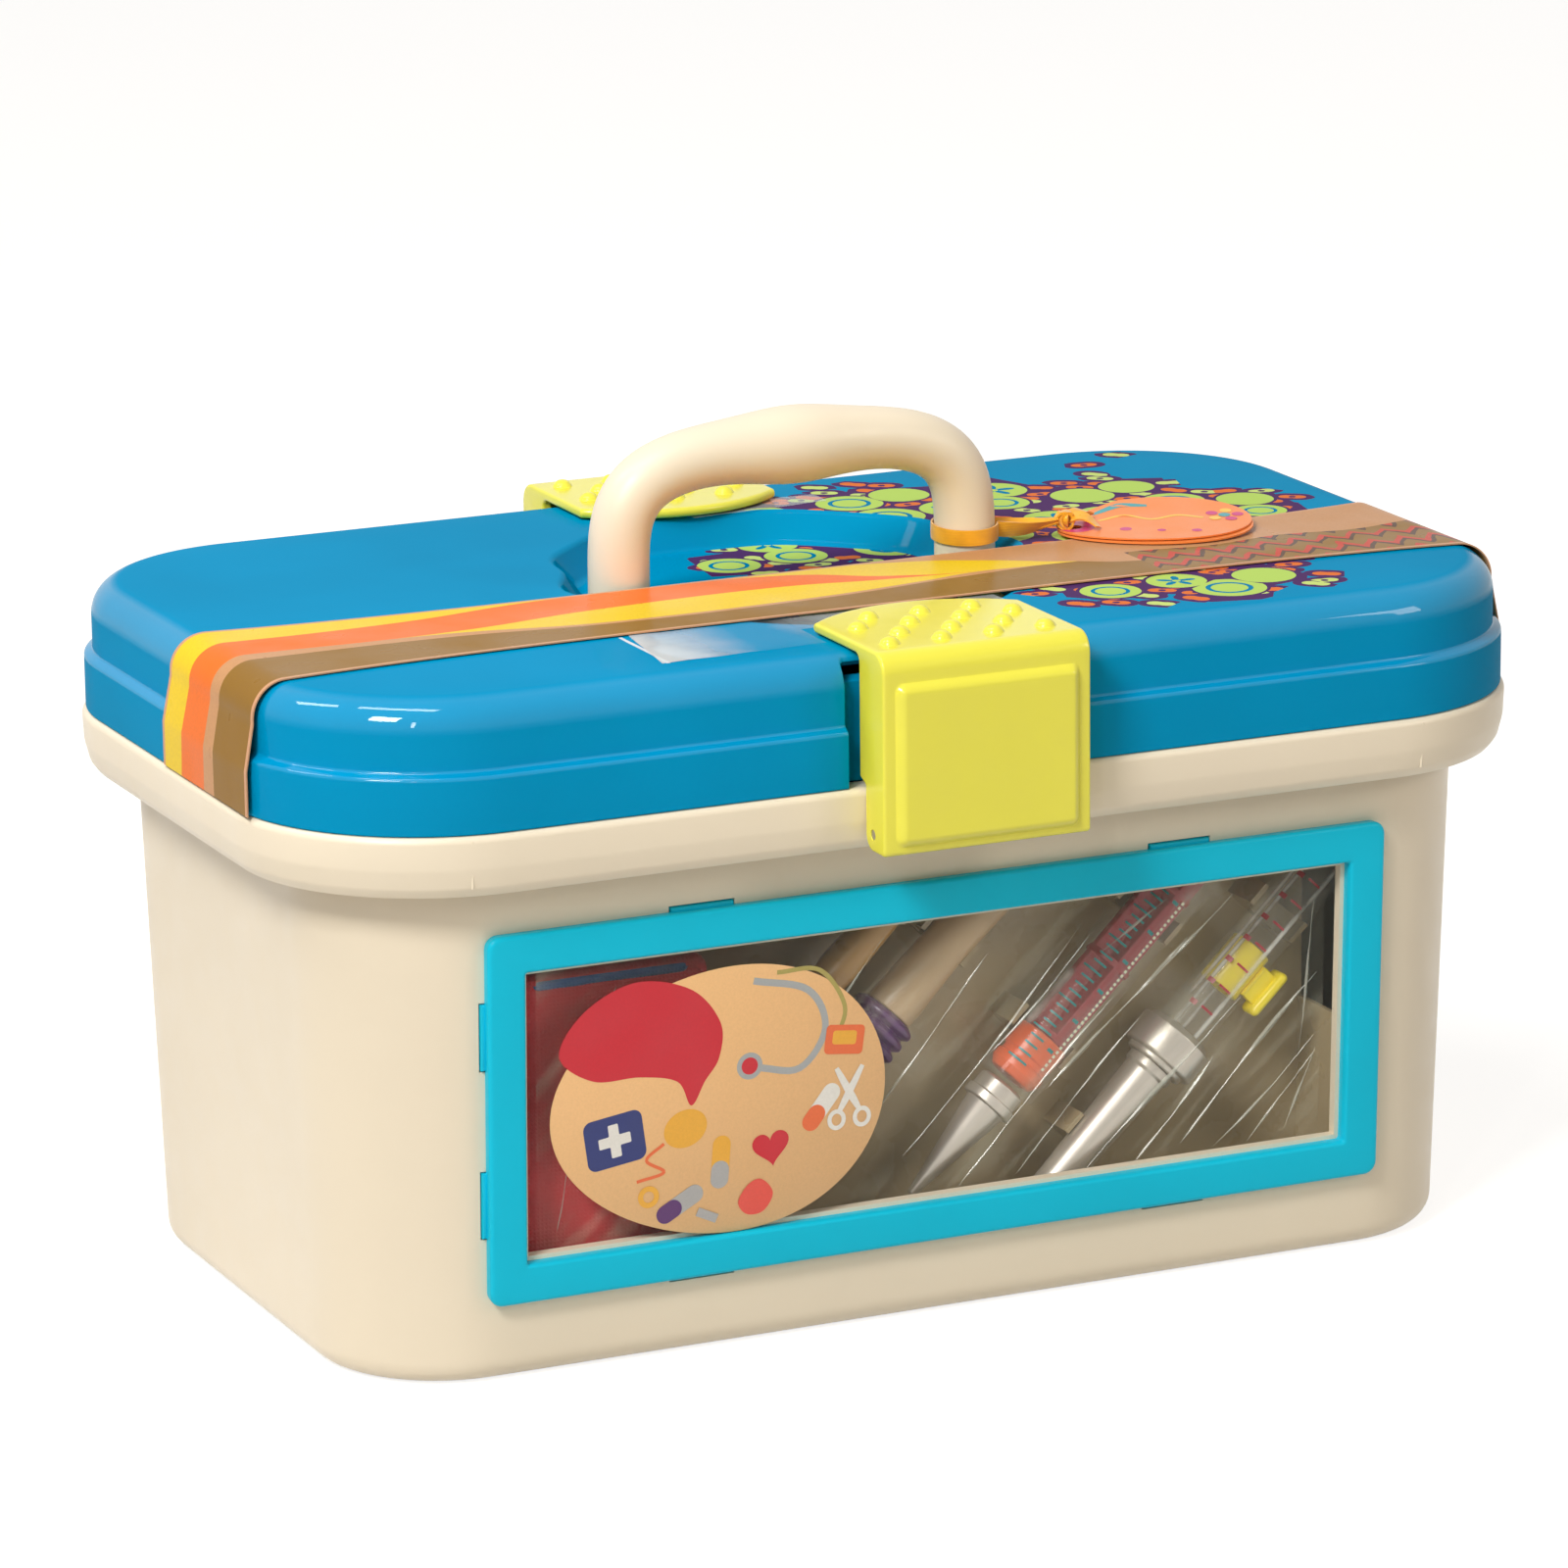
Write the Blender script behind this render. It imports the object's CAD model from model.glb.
"""Looks of the toy doctor case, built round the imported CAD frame. Sizes are in millimetres unless said."""
from functools import partial
from math import acos, asin, atan, atan2, ceil, cos, degrees, exp, hypot, pi, radians, sin, sqrt, tan

import bmesh
import bpy
import numpy as np
from mathutils import Matrix, Vector
from mathutils.geometry import tessellate_polygon
from numpy import linspace


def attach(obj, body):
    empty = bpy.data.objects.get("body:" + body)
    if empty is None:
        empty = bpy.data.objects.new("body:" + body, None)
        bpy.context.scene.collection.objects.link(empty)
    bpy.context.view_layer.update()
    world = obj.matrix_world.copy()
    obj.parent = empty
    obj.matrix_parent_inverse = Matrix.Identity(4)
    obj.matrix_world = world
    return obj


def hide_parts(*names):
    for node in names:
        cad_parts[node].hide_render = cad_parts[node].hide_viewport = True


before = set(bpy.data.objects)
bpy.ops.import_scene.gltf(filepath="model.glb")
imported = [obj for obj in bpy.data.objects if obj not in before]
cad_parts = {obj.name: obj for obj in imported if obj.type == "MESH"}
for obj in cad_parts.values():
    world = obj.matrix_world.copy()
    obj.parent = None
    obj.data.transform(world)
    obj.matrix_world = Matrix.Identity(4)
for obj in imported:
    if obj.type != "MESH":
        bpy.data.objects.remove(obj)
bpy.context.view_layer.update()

MM = 0.001
CORNERS = ((-1, -1), (1, -1), (1, 1), (-1, 1))

# Case, rim and lid
HALF_LEN, HALF_WID, CORNER = 165.0, 97.0, 50.0
SEAM, RIM_LOW, WALL = 137.0, 122.0, 2.4
FOOT_IN, WALL_IN, FOOT_R = 17.0, 12.8, 6.0
LID_TOP, LID_LOW, TIER = 168.0, 137.1, 151.0
LID_IN, TIER_IN, SHOULDER = 1.0, 3.1, 8.0
TOP_EDGE = 23.1
NOTCH_Y, NOTCH_X = 90.0, 29.4
RECESS_LEN, RECESS_WID, RECESS_DEPTH = 51.5, 61.0, 8.0
# Handle
SPAN, RISE, LEG_R, SWELL, SWELL_LEN, BOW = 46.4, 30.0, 7.5, 2.1, 15.0, 3.7
# Latches
LATCH_W, LATCH_T, PLATE_Y, FLAP_Z, BEND_R = 53.6, 2.4, 107.6, 168.5, 5.0
PIN_Y, PIN_Z, CHEEK_T, FLAP_Y, FLAP_ARC = 101.5, 127.0, 2.2, 58.8, 38.0
FLAT_FROM = 90.0      # from here inwards a latch's flap is plainly flat
PANEL_X, PANEL_Z, PANEL_RISE, PANEL_CORNER = 23.8, 19.6, 1.8, 2.5
# Window
FRAME_LEN, FRAME_H, BORDER, FRAME_MID, PROUD = 235.0, 90.3, 9.3, 64.6, 3.2
LEAN = atan((FOOT_IN - WALL_IN) / (SEAM - WALL - FOOT_R))
# Label, band, ribbon and tags
LABEL_AT, LABEL_SIZE, LABEL_OUT = (-58.8, -2.5), (43.0, 32.65), 1.85
BAND_Y, BAND_LOW = -30.0, 137.35
KNOT = (72.6, -2.8, 172.3)
TAG_AT, TAG_SIZE, CARD_T = (75.0, -3.0), (24.4, 17.0), 0.4
# Instruments
INST_Y, TILT = -66.0, radians(44)
SYRINGE, THERMOMETER, OTOSCOPE, MIRROR = (-1.0, 26.0), (29.5, 16.1), (-16.5, 63.0), (-39.5, 66.0)


# ---------------------------------------------------------------- geometry

def new_mesh(name, verts, faces):
    mesh = bpy.data.meshes.new(name)
    mesh.from_pydata([tuple(c * MM for c in v) for v in verts], [], faces)
    return mesh


def new_object(name, data):
    obj = bpy.data.objects.new(name, data)
    bpy.context.scene.collection.objects.link(obj)
    return obj


class Shape:
    """Vertices, faces and material numbers of one piece."""

    def __init__(self):
        self.verts, self.faces, self.mats = [], [], []

    def add(self, verts, faces, mat=0):
        base = len(self.verts)
        self.verts.extend(tuple(map(float, v)) for v in verts)
        self.faces.extend(tuple(base + i for i in f) for f in faces)
        self.mats.extend([mat] * len(faces))

    def cap(self, *loops, mat=0):
        """One face inside each loop."""
        for loop in loops:
            self.add(loop, [tuple(range(len(loop)))], mat)

    def grid(self, points, wrap_u=False, wrap_v=False, mat=0):
        p = np.asarray(points, float)
        n, m, _ = p.shape
        faces = [(i * m + j, (i + 1) % n * m + j, (i + 1) % n * m + (j + 1) % m, i * m + (j + 1) % m)
                 for i in range(n if wrap_u else n - 1) for j in range(m if wrap_v else m - 1)]
        self.add(p.reshape(-1, 3), faces, mat)

    def fill(self, *loops, mat=0):
        """A flat face inside the first loop, with the others as holes."""
        tris = tessellate_polygon([[Vector(p) for p in loop] for loop in loops])
        self.add([p for loop in loops for p in loop], [t for t in tris if len(set(t)) == 3], mat)

    def build(self, name, body, materials, slot=None, stands_for=(), sharp=38, weld=0.002, attrs=None):
        mesh = new_mesh(name, self.verts, self.faces)
        mesh.polygons.foreach_set("material_index", self.mats)
        for m in materials:
            mesh.materials.append(m)
        for key, values in (attrs or {}).items():
            mesh.attributes.new(key, "FLOAT", "POINT").data.foreach_set("value", values)
        obj = new_object(name, mesh)
        clean(obj, weld)
        smooth(obj, sharp)
        dress(obj, body, stands_for)
        return obj


def clean(obj, weld=0.002):
    bm = bmesh.new()
    bm.from_mesh(obj.data)
    bmesh.ops.remove_doubles(bm, verts=bm.verts, dist=weld * MM)
    bmesh.ops.dissolve_degenerate(bm, edges=bm.edges, dist=0.0005 * MM)
    bmesh.ops.recalc_face_normals(bm, faces=bm.faces)
    bm.to_mesh(obj.data)
    bm.free()


def smooth(obj, sharp=38):
    obj.data.shade_smooth()
    obj.data.set_sharp_from_angle(angle=radians(sharp))


def dress(obj, body, stands_for=()):
    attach(obj, body)
    if stands_for:
        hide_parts(*stands_for)


def unit(vectors):
    return vectors / np.linalg.norm(vectors, axis=1)[:, None]


def circle(count):
    return linspace(0, 2 * pi, count, endpoint=False)


def rounded(points, closed=False, step=12.0):
    """A drawn line with rounded corners. Each point is (a, b, radius)."""
    out, n = [], len(points)
    for i, (a, b, r) in enumerate(points):
        p = np.array((a, b), float)
        if r <= 0 or (not closed and i in (0, n - 1)):
            out.append(p)
            continue
        d0 = np.array(points[i - 1][:2], float) - p
        d1 = np.array(points[(i + 1) % n][:2], float) - p
        l0, l1 = np.linalg.norm(d0), np.linalg.norm(d1)
        d0, d1 = d0 / l0, d1 / l1
        ang = acos(max(-1, min(1, float(d0 @ d1))))
        t = min(r / tan(ang / 2), 0.49 * l0, 0.49 * l1)
        rr = t * tan(ang / 2)
        c = p + (d0 + d1) / np.linalg.norm(d0 + d1) * rr / sin(ang / 2)
        s, e = p + d0 * t - c, p + d1 * t - c
        a0 = atan2(s[1], s[0])
        da = (atan2(e[1], e[0]) - a0 + pi) % (2 * pi) - pi
        k = max(2, ceil(abs(degrees(da)) / step))
        out += [c + rr * np.array((cos(a0 + da * j / k), sin(a0 + da * j / k))) for j in range(k + 1)]
    return np.array(out)


def case_path(xs):
    """Stations round the case: (centre x, centre y, outward x, outward y)."""
    cx, cy = HALF_LEN - CORNER, HALF_WID - CORNER
    side = linspace(-cy, cy, 5)
    turn = linspace(0, pi / 2, 27)[1:-1]
    out = [(x, -cy, 0, -1) for x in xs]
    out += [(cx, -cy, sin(a), -cos(a)) for a in turn]
    out += [(cx, y, 1, 0) for y in side]
    out += [(cx, cy, cos(a), sin(a)) for a in turn]
    out += [(x, cy, 0, 1) for x in xs[::-1]]
    out += [(-cx, cy, -sin(a), cos(a)) for a in turn]
    out += [(-cx, y, -1, 0) for y in side[::-1]]
    out += [(-cx, -cy, -cos(a), -sin(a)) for a in turn]
    return np.array(out, float)


def around(path, profile):
    """A profile of (inset, height) carried round the case."""
    out = CORNER - profile[:, 0]
    p = np.empty((len(path), len(profile), 3))
    p[:, :, 0] = path[:, 0, None] + out * path[:, 2, None]
    p[:, :, 1] = path[:, 1, None] + out * path[:, 3, None]
    p[:, :, 2] = profile[:, 1]
    return p


def step_up(a, b, x):
    t = np.clip((np.asarray(x, float) - a) / (b - a), 0, 1)
    return t * t * (3 - 2 * t)


def wall_point(x, out, up):
    """A point on the leaning front wall: across, out of the wall, and up it from the window's middle."""
    up = up + (FRAME_MID - FOOT_R) / cos(LEAN)
    return (x, FOOT_IN - HALF_WID - out * cos(LEAN) - up * sin(LEAN), FOOT_R - out * sin(LEAN) + up * cos(LEAN))


def lay(at, x, y, along):
    """A point given along an instrument: x to its lower side, y to the rear, and along its line."""
    c, s = cos(TILT), sin(TILT)
    return (at[0] + x * s + along * c, INST_Y + y, at[1] - x * c + along * s)


def turned(profile, place, sides=48):
    """A profile of (radius, along) turned about a line. place(x, y, along) gives the point."""
    return [[place(r * cos(t), r * sin(t), z) for r, z in profile] for t in circle(sides)]


def wall_box(x0, x1, u0, u1, reach=12):
    """A box through the front wall."""
    corners = [wall_point(x, o, u) for o in (-reach, reach) for x, u in ((x0, u0), (x1, u0), (x1, u1), (x0, u1))]
    faces = [(0, 1, 2, 3), (7, 6, 5, 4), (0, 4, 5, 1), (1, 5, 6, 2), (2, 6, 7, 3), (3, 7, 4, 0)]
    return corners, faces


def carve(obj, solids):
    """Cuts solids of (vertices, faces) out of an object."""
    cutters = [new_object("cutter", new_mesh("cutter", *solid)) for solid in solids]
    for c in cutters:
        clean(c)
        m = obj.modifiers.new("cut", "BOOLEAN")
        m.object, m.operation, m.solver = c, "DIFFERENCE", "EXACT"
    mesh = bpy.data.meshes.new_from_object(obj.evaluated_get(bpy.context.evaluated_depsgraph_get()))
    obj.modifiers.clear()
    obj.data = mesh
    for c in cutters:
        bpy.data.objects.remove(c)


# ---------------------------------------------------------------- materials

def srgb(r, g, b):
    f = lambda c: c / 12.92 if c <= 0.04045 else ((c + 0.055) / 1.055) ** 2.4
    return (f(r / 255), f(g / 255), f(b / 255), 1.0)


def shade(color, k):
    return tuple(min(1, c * k) for c in color[:3]) + (color[3],)


class Value:
    """A number in a material's nodes, with plain arithmetic. A comparison gives 1 or 0."""

    def __init__(self, look, socket):
        self.look, self.socket = look, socket

    def __abs__(self):
        return self.look.math("ABSOLUTE", self)

    def sin(self):
        return self.look.math("SINE", self)

    def cos(self):
        return self.look.math("COSINE", self)


def arithmetic(sign, kind):
    """Gives Value one operator, with a number on either side."""
    setattr(Value, "__%s__" % sign, lambda self, other: self.look.math(kind, self, other))
    setattr(Value, "__r%s__" % sign, lambda self, other: self.look.math(kind, other, self))


for sign, kind in (("add", "ADD"), ("sub", "SUBTRACT"), ("mul", "MULTIPLY"), ("truediv", "DIVIDE"),
                   ("pow", "POWER"), ("gt", "GREATER_THAN"), ("lt", "LESS_THAN"), ("or", "MAXIMUM"), ("and", "MINIMUM")):
    arithmetic(sign, kind)


class Look:
    """A node material with short calls for its nodes."""

    def __init__(self, name, color, **sockets):
        self.mat = bpy.data.materials.new(name)
        self.mat.use_nodes = True
        self.tree = self.mat.node_tree
        self.bsdf = self.tree.nodes["Principled BSDF"]
        self.bsdf.inputs["Base Color"].default_value = color
        self.mat.diffuse_color = color
        for key, value in sockets.items():
            self.bsdf.inputs[key.replace("_", " ")].default_value = value
        self.coord = self.node("ShaderNodeTexCoord").outputs["Object"]

    def put(self, value, socket):
        """A value, a socket or a constant into a node's socket."""
        if isinstance(value, Value):
            value = value.socket
        if isinstance(value, bpy.types.NodeSocket):
            self.tree.links.new(value, socket)
        else:
            socket.default_value = value

    def node(self, kind, inputs=None, **settings):
        n = self.tree.nodes.new(kind)
        for key, value in settings.items():
            setattr(n, key, value)
        for key, value in (inputs or {}).items():
            self.put(value, n.inputs[key])
        return n

    def values(self, sockets):
        return [Value(self, s) for s in sockets]

    def parts(self, vector=None):
        """The x, y and z of a vector, or of the place in metres."""
        return self.values(self.node("ShaderNodeSeparateXYZ", {0: vector or self.coord}).outputs)

    def link(self, output, socket):
        self.put(output, self.bsdf.inputs[socket])

    def math(self, op, a, b=0.0):
        return Value(self, self.node("ShaderNodeMath", {0: a, 1: b}, operation=op).outputs[0])

    def noise(self, size, detail=2.0, rough=0.5, vector=None):
        """Noise whose features are about `size` mm."""
        inputs = {"Vector": vector or self.coord, "Scale": 1000.0 / size, "Detail": detail, "Roughness": rough}
        return Value(self, self.node("ShaderNodeTexNoise", inputs).outputs[0])

    def mix(self, fac, a, b):
        n = self.node("ShaderNodeMix", data_type="RGBA")
        for socket, value in ((0, fac), (6, a), (7, b)):
            self.put(value, n.inputs[socket])
        return n.outputs[2]

    def spread(self, value, low, high, frm=0.3, to=0.7, **settings):
        """A number between low and high while a value runs from one end of its own range to the other."""
        n = self.node("ShaderNodeMapRange", {0: value, 1: frm, 2: to, 3: low, 4: high}, **settings)
        return Value(self, n.outputs[0])

    def drift(self, color, low, high, *noise):
        """A colour that drifts between two shades of itself."""
        return self.mix(self.spread(self.noise(*noise), 0, 1), shade(color, low), shade(color, high))

    def surface(self, color, rough, *layers):
        """Colour, roughness, and relief from layers of (height, depth in mm, strength)."""
        if color is not None:
            self.link(color, "Base Color")
        self.link(rough, "Roughness")
        normal = None
        for height, depth, strength in layers:
            n = self.node("ShaderNodeBump", {"Height": height, "Distance": depth * MM, "Strength": strength})
            if normal is not None:
                self.tree.links.new(normal, n.inputs["Normal"])
            normal = n.outputs[0]
        self.link(normal, "Normal")
        return self.mat


def moulded(name, color, rough=0.35, vary=0.05, **sockets):
    """Moulded plastic: faint colour drift, orange-peel relief and fine scuffs."""
    look = Look(name, color, **sockets)
    return look.surface(look.drift(color, 1 - vary, 1 + vary, 60, 3),
                        look.spread(look.noise(9, 6, 0.7), rough * 0.82, rough * 1.2),
                        (look.noise(1.3, 2), 0.012, 0.5), (look.noise(28, 2), 0.12, 0.35))


def clear(name, color, alpha, low, high):
    """Clear plastic that light passes straight through."""
    look = Look(name, color)
    look.link(alpha(look) if callable(alpha) else alpha, "Alpha")
    return look.surface(None, look.spread(look.noise(14, 4), low, high), (look.noise(22, 3), 0.25, 0.4))


def metallised(name, color, rough, shine):
    """Vacuum-metallised plastic with faint flow lines."""
    look = Look(name, color, Metallic=shine)
    return look.surface(None, look.spread(look.noise(5, 4, 0.6), rough * 0.9, rough * 1.15),
                        (look.noise(2.5, 2), 0.003, 0.3))


CREAM, BLUE = srgb(241, 227, 202), srgb(0, 146, 196)
TURQUOISE, LIME = srgb(18, 198, 230), srgb(238, 230, 70)


def lid_look():
    """Glossy blue with a scattered print of ringed discs and dots on its right half."""
    look = Look("lid_blue", BLUE, Specular_IOR_Level=0.0, Coat_Roughness=0.03)
    x, y, z = look.parts()
    normal = look.node("ShaderNodeNewGeometry").outputs["Normal"]
    normal = look.node("ShaderNodeVectorTransform", {0: normal}, vector_type="NORMAL", convert_from="WORLD",
                       convert_to="OBJECT").outputs[0]
    level = look.parts(normal)[2]
    flat = (level > 0.96) * (z > 0.158)

    def cells(size, shift, jitter, reach):
        """For the nearest cell: distance, direction, three random numbers, and whether it is printed."""
        settings = {0: look.coord, 1: (shift, shift * 0.7, 0), 3: (1000 / size,) * 3}
        move = look.node("ShaderNodeMapping", settings).outputs[0]
        cell = look.node("ShaderNodeTexVoronoi", {"Vector": move, "Scale": 1.0, "Randomness": jitter},
                         voronoi_dimensions="2D").outputs
        rnd = look.values(look.node("ShaderNodeSeparateColor", {0: cell["Color"]}).outputs)
        off = look.node("ShaderNodeVectorMath", {0: move, 1: cell["Position"]}, operation="SUBTRACT")
        off = look.parts(off.outputs[0])
        where = look.parts(cell["Position"])
        cx, cy = (where[0] - shift) * size, (where[1] - shift * 0.7) * size
        start = (cy * 0.11).sin() * 6.0 + look.spread(cy, 50.0, 2.0, -62.0, -30.0)
        stop = (cy * 0.07 + 0.6).sin() * 16.0 + (128.0 + reach)
        stop = stop & look.spread(cy, 108.0 + reach, 150.0, -52.0, -30.0)
        bay = abs((cx - 84.0) / 27.0) ** 2.0 + ((cy - 84.0) / 30.0) ** 2.0
        on = (cx > start - reach) * (cx < stop) * (bay > 1.0) * (abs(cy) < 75.0 + reach)
        return Value(look, cell["Distance"]), look.math("ARCTAN2", off[1], off[0]), rnd, on * flat

    purple, orange, lime, pale = srgb(84, 50, 104), srgb(232, 122, 62), srgb(188, 220, 108), srgb(206, 226, 130)
    big_d, big_a, big_rnd, big_on = cells(19.5, 0.35, 0.62, 0.0)
    small_d, small_a, small_rnd, small_on = cells(8.6, 1.7, 0.9, 4.0)
    radius = look.spread(big_rnd[0], 0.34, 0.47, 0, 1)
    field = big_d < radius + ((big_a * 5.0).sin() * 0.012 + 0.34)
    leaf = 0.30 + ((small_a + small_rnd[0]) * 2.0).cos() * 0.11
    share = big_d / radius
    ring = (share > 0.50) * (share < 0.64) * (big_rnd[2] > 0.5)
    petal = 0.42 + (big_a * 5.0).cos() * 0.26
    flower = (share < petal) * (big_rnd[2] < 0.28)
    color = look.drift(BLUE, 0.95, 1.05, 60, 3)
    for where, paint in ((field * big_on, purple), ((small_d < leaf + 0.26) * small_on, purple),
                         ((small_d < leaf) * small_on, look.mix(small_rnd[2] > 0.62, orange, pale)),
                         ((small_d < 0.11) * (small_rnd[1] > 0.4) * small_on, purple),
                         ((big_d < radius + 0.045) * big_on, purple), ((big_d < radius) * big_on, lime),
                         ((ring | flower) * big_on, shade(BLUE, 0.8)),
                         ((share < 0.14) * (big_rnd[2] < 0.28) * big_on, lime)):
        color = look.mix(where, color, paint)
    # Only the shoulder all round is highly polished
    slope = look.spread(level, 1.0, 0.0, 0.90, 0.985) * look.spread(level, 0.0, 1.0, 0.05, 0.25)
    edge = slope * ((abs(x) - 0.068 | abs(y)) > 0.070)
    look.link(0.07 + edge * 0.6, "Coat Weight")
    return look.surface(color, look.spread(look.noise(12, 5, 0.7), 0.2, 0.32),
                        (look.noise(1.6, 2), 0.008, 0.4), (look.noise(34, 2), 0.1, 0.3))


def band_look():
    """Coated kraft paper with flowing stripes and a zigzag near its right end."""
    look = Look("band_paper", srgb(215, 170, 130), Roughness=0.45, Specular_IOR_Level=0.05, Coat_Weight=0.05)
    u, v = look.values(look.node("ShaderNodeAttribute", attribute_name=key).outputs["Fac"] for key in ("u", "v"))

    def edge(points):
        n = look.node("ShaderNodeFloatCurve", {1: u})
        curve = n.mapping.curves[0]
        curve.points[0].location, curve.points[-1].location = points[0], points[-1]
        for x, y in points[1:-1]:
            curve.points.new(x, y)
        n.mapping.update()
        return Value(look, n.outputs[0])

    yellow, orange, kraft = srgb(244, 208, 30), srgb(246, 118, 34), srgb(206, 152, 104)
    color = srgb(146, 106, 30)
    # Each stripe lies above its lower edge, across the band, drawn over the stripes before it
    for paint, points in (
            (kraft, [(0, 0.39), (0.1, 0.40), (0.22, 0.38), (0.34, 0.26), (0.46, 0.28), (0.58, 0.42), (0.7, 0.52),
                     (1, 0.52)]),
            (yellow, [(0, 0.51), (0.1, 0.50), (0.22, 0.46), (0.34, 0.30), (0.46, 0.32), (0.55, 0.42), (0.6, 0.5),
                      (1, 0.5)]),
            (orange, [(0, 0.51), (0.1, 0.50), (0.22, 0.48), (0.34, 0.62), (0.45, 0.66), (0.53, 0.56), (0.6, 0.5),
                      (1, 0.5)]),
            (yellow, [(0, 0.78), (0.1, 0.76), (0.2, 0.80), (0.32, 0.97), (0.4, 1.0), (0.47, 0.93), (0.54, 0.62),
                      (0.6, 0.5), (1, 0.5)]),
            (kraft, [(0, 1.0), (0.5, 1.0), (0.56, 0.92), (0.61, 0.74), (0.66, 0.48), (0.72, 0.3), (1, 0.3)])):
        color = look.mix(v > edge(points), color, paint)
    saw = look.math("PINGPONG", u * 46.0, 0.5)
    stripe = look.math("FRACT", v * 5.0 - (saw * 1.2 + look.noise(14, 2) * 0.9))
    zigzag = look.mix(stripe < 0.26, srgb(150, 112, 48), srgb(206, 66, 44))
    zigzag = look.mix(stripe > 0.80, zigzag, srgb(84, 58, 40))
    front = v + (u * 60.0).sin() * 0.03 < 0.52
    color = look.mix((u > 0.70) * front, color, zigzag)
    color = look.mix(abs(v - 0.5) > 0.475, color, srgb(216, 162, 122))
    fibre = look.noise(0.8, 3, 0.7)
    color = look.mix(look.spread(fibre, 0.0, 0.14), color, srgb(120, 86, 50))
    return look.surface(color, look.spread(look.noise(18, 3), 0.25, 0.42),
                        (fibre, 0.01, 0.4), (look.noise(40, 2), 0.3, 0.3))


def woven(name, color):
    """Woven nylon: crossed threads, sheen and soft colour drift."""
    look = Look(name, color, Sheen_Weight=0.35, Sheen_Roughness=0.4)
    x, _, z = look.parts()
    weave = (x * (2000 * pi)).sin() | (z * (2000 * pi)).sin()
    return look.surface(look.drift(color, 0.8, 1.2, 16, 4), look.spread(look.noise(6, 3), 0.55, 0.75),
                        (weave, 0.1, 0.5), (look.noise(10, 3), 0.6, 0.5))


def satin(name, color):
    """Satin ribbon: fine ribs along its length and a soft sheen."""
    look = Look(name, color, Anisotropic=0.6, Sheen_Weight=0.4)
    rib = (look.parts()[2] * (1000 * pi / 0.35)).sin()
    return look.surface(look.drift(color, 0.85, 1.12, 5, 3), look.spread(look.noise(4, 2), 0.26, 0.42),
                        (rib, 0.03, 0.4), (look.noise(4, 2), 0.2, 0.4))


def printed(name, color):
    """Coated card or label print."""
    look = Look(name, color)
    return look.surface(look.drift(color, 0.96, 1.04, 0.6, 3, 0.7), look.spread(look.noise(12, 3), 0.28, 0.42),
                        (look.noise(0.9, 3), 0.008, 0.4))


def prints(pattern, **colors):
    return {key: printed(pattern % key, srgb(*rgb)) for key, rgb in colors.items()}


def streaked(name, color, low, high):
    """Clear film with broad soft streaks along its slant, where it stands off the pane."""
    look = Look(name, color)
    settings = {0: look.coord, 2: (0, -TILT, 0), 3: (0.055, 1.0, 0.0077)}
    move = look.node("ShaderNodeMapping", settings, vector_type="TEXTURE")
    wave = look.noise(1000, 2.0, 0.55, move.outputs[0])
    look.link(look.spread(wave, low, high, 0.52, 0.78), "Alpha")
    return look.surface(None, look.spread(look.noise(14, 4), 0.06, 0.2),
                        (wave, 1.2, 0.7), (look.noise(9, 4, 0.6), 0.5, 0.5))


def tube_haze(at, bands, look):
    """A tube's wall is whitened in soft streaks along it: (angle, half width, strength, start, end)."""
    x, y, z = (p - v * MM for p, v in zip(look.parts(), (at[0], INST_Y, at[1])))
    c, s = cos(TILT), sin(TILT)
    across, along = x * s - z * c, x * c + z * s
    angle = look.math("ARCTAN2", y, across)
    wave = look.spread(look.noise(9, 3), 0.35, 1.0, 0.35, 0.6)
    haze = 0.09
    for centre, half, strength, start, end in bands:
        band = look.spread(abs(angle - radians(centre)), strength, 0.0, 0.0, radians(half),
                           interpolation_type="SMOOTHSTEP")
        ends = look.spread(abs(along - (start + end) / 2 * MM), 1.0, 0.0,
                           (end - start - 6) / 2 * MM, (end - start) / 2 * MM)
        haze = haze | band * ends * wave
    return haze


def tape_haze(look):
    """Clear tape is whitened towards its left end, where it lifts."""
    place = look.parts()[0] + look.noise(16, 3) * 0.016
    return look.spread(place, 0.8, 0.05, -0.058, -0.034) | look.spread(place, 0.05, 0.34, -0.024, -0.012)


# ---------------------------------------------------------------- camera and light

def camera():
    """The photograph's view, as fitted to the rim, foot, lid and window."""
    yaw, pitch, roll = 0.426439, 0.253011, -0.011367
    fwd = Vector((sin(yaw) * cos(pitch), cos(yaw) * cos(pitch), -sin(pitch)))
    right = Vector((cos(yaw), -sin(yaw), 0))
    up = right.cross(fwd)
    r2 = cos(roll) * right + sin(roll) * up
    u2 = cos(roll) * up - sin(roll) * right
    data = bpy.data.cameras.new("camera")
    data.sensor_width, data.lens = 36.0, 169.24
    data.clip_start, data.clip_end = 0.05, 60
    cam = new_object("camera", data)
    cam.matrix_world = Matrix(((r2.x, u2.x, -fwd.x, -0.7283), (r2.y, u2.y, -fwd.y, -1.5960),
                               (r2.z, u2.z, -fwd.z, 0.5663), (0, 0, 0, 1)))
    bpy.context.scene.camera = cam


def area_lamp(name, size, size_y, power, color=(1, 1, 1)):
    data = bpy.data.lights.new(name, "AREA")
    data.shape, data.size, data.size_y = "RECTANGLE", size, size_y
    data.energy, data.color = power, color
    return new_object(name, data)


def lamp(name, at, target, *makeup):
    obj = area_lamp(name, *makeup)
    obj.location = at
    obj.rotation_euler = (Vector(target) - Vector(at)).to_track_quat("-Z", "Y").to_euler()


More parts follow.
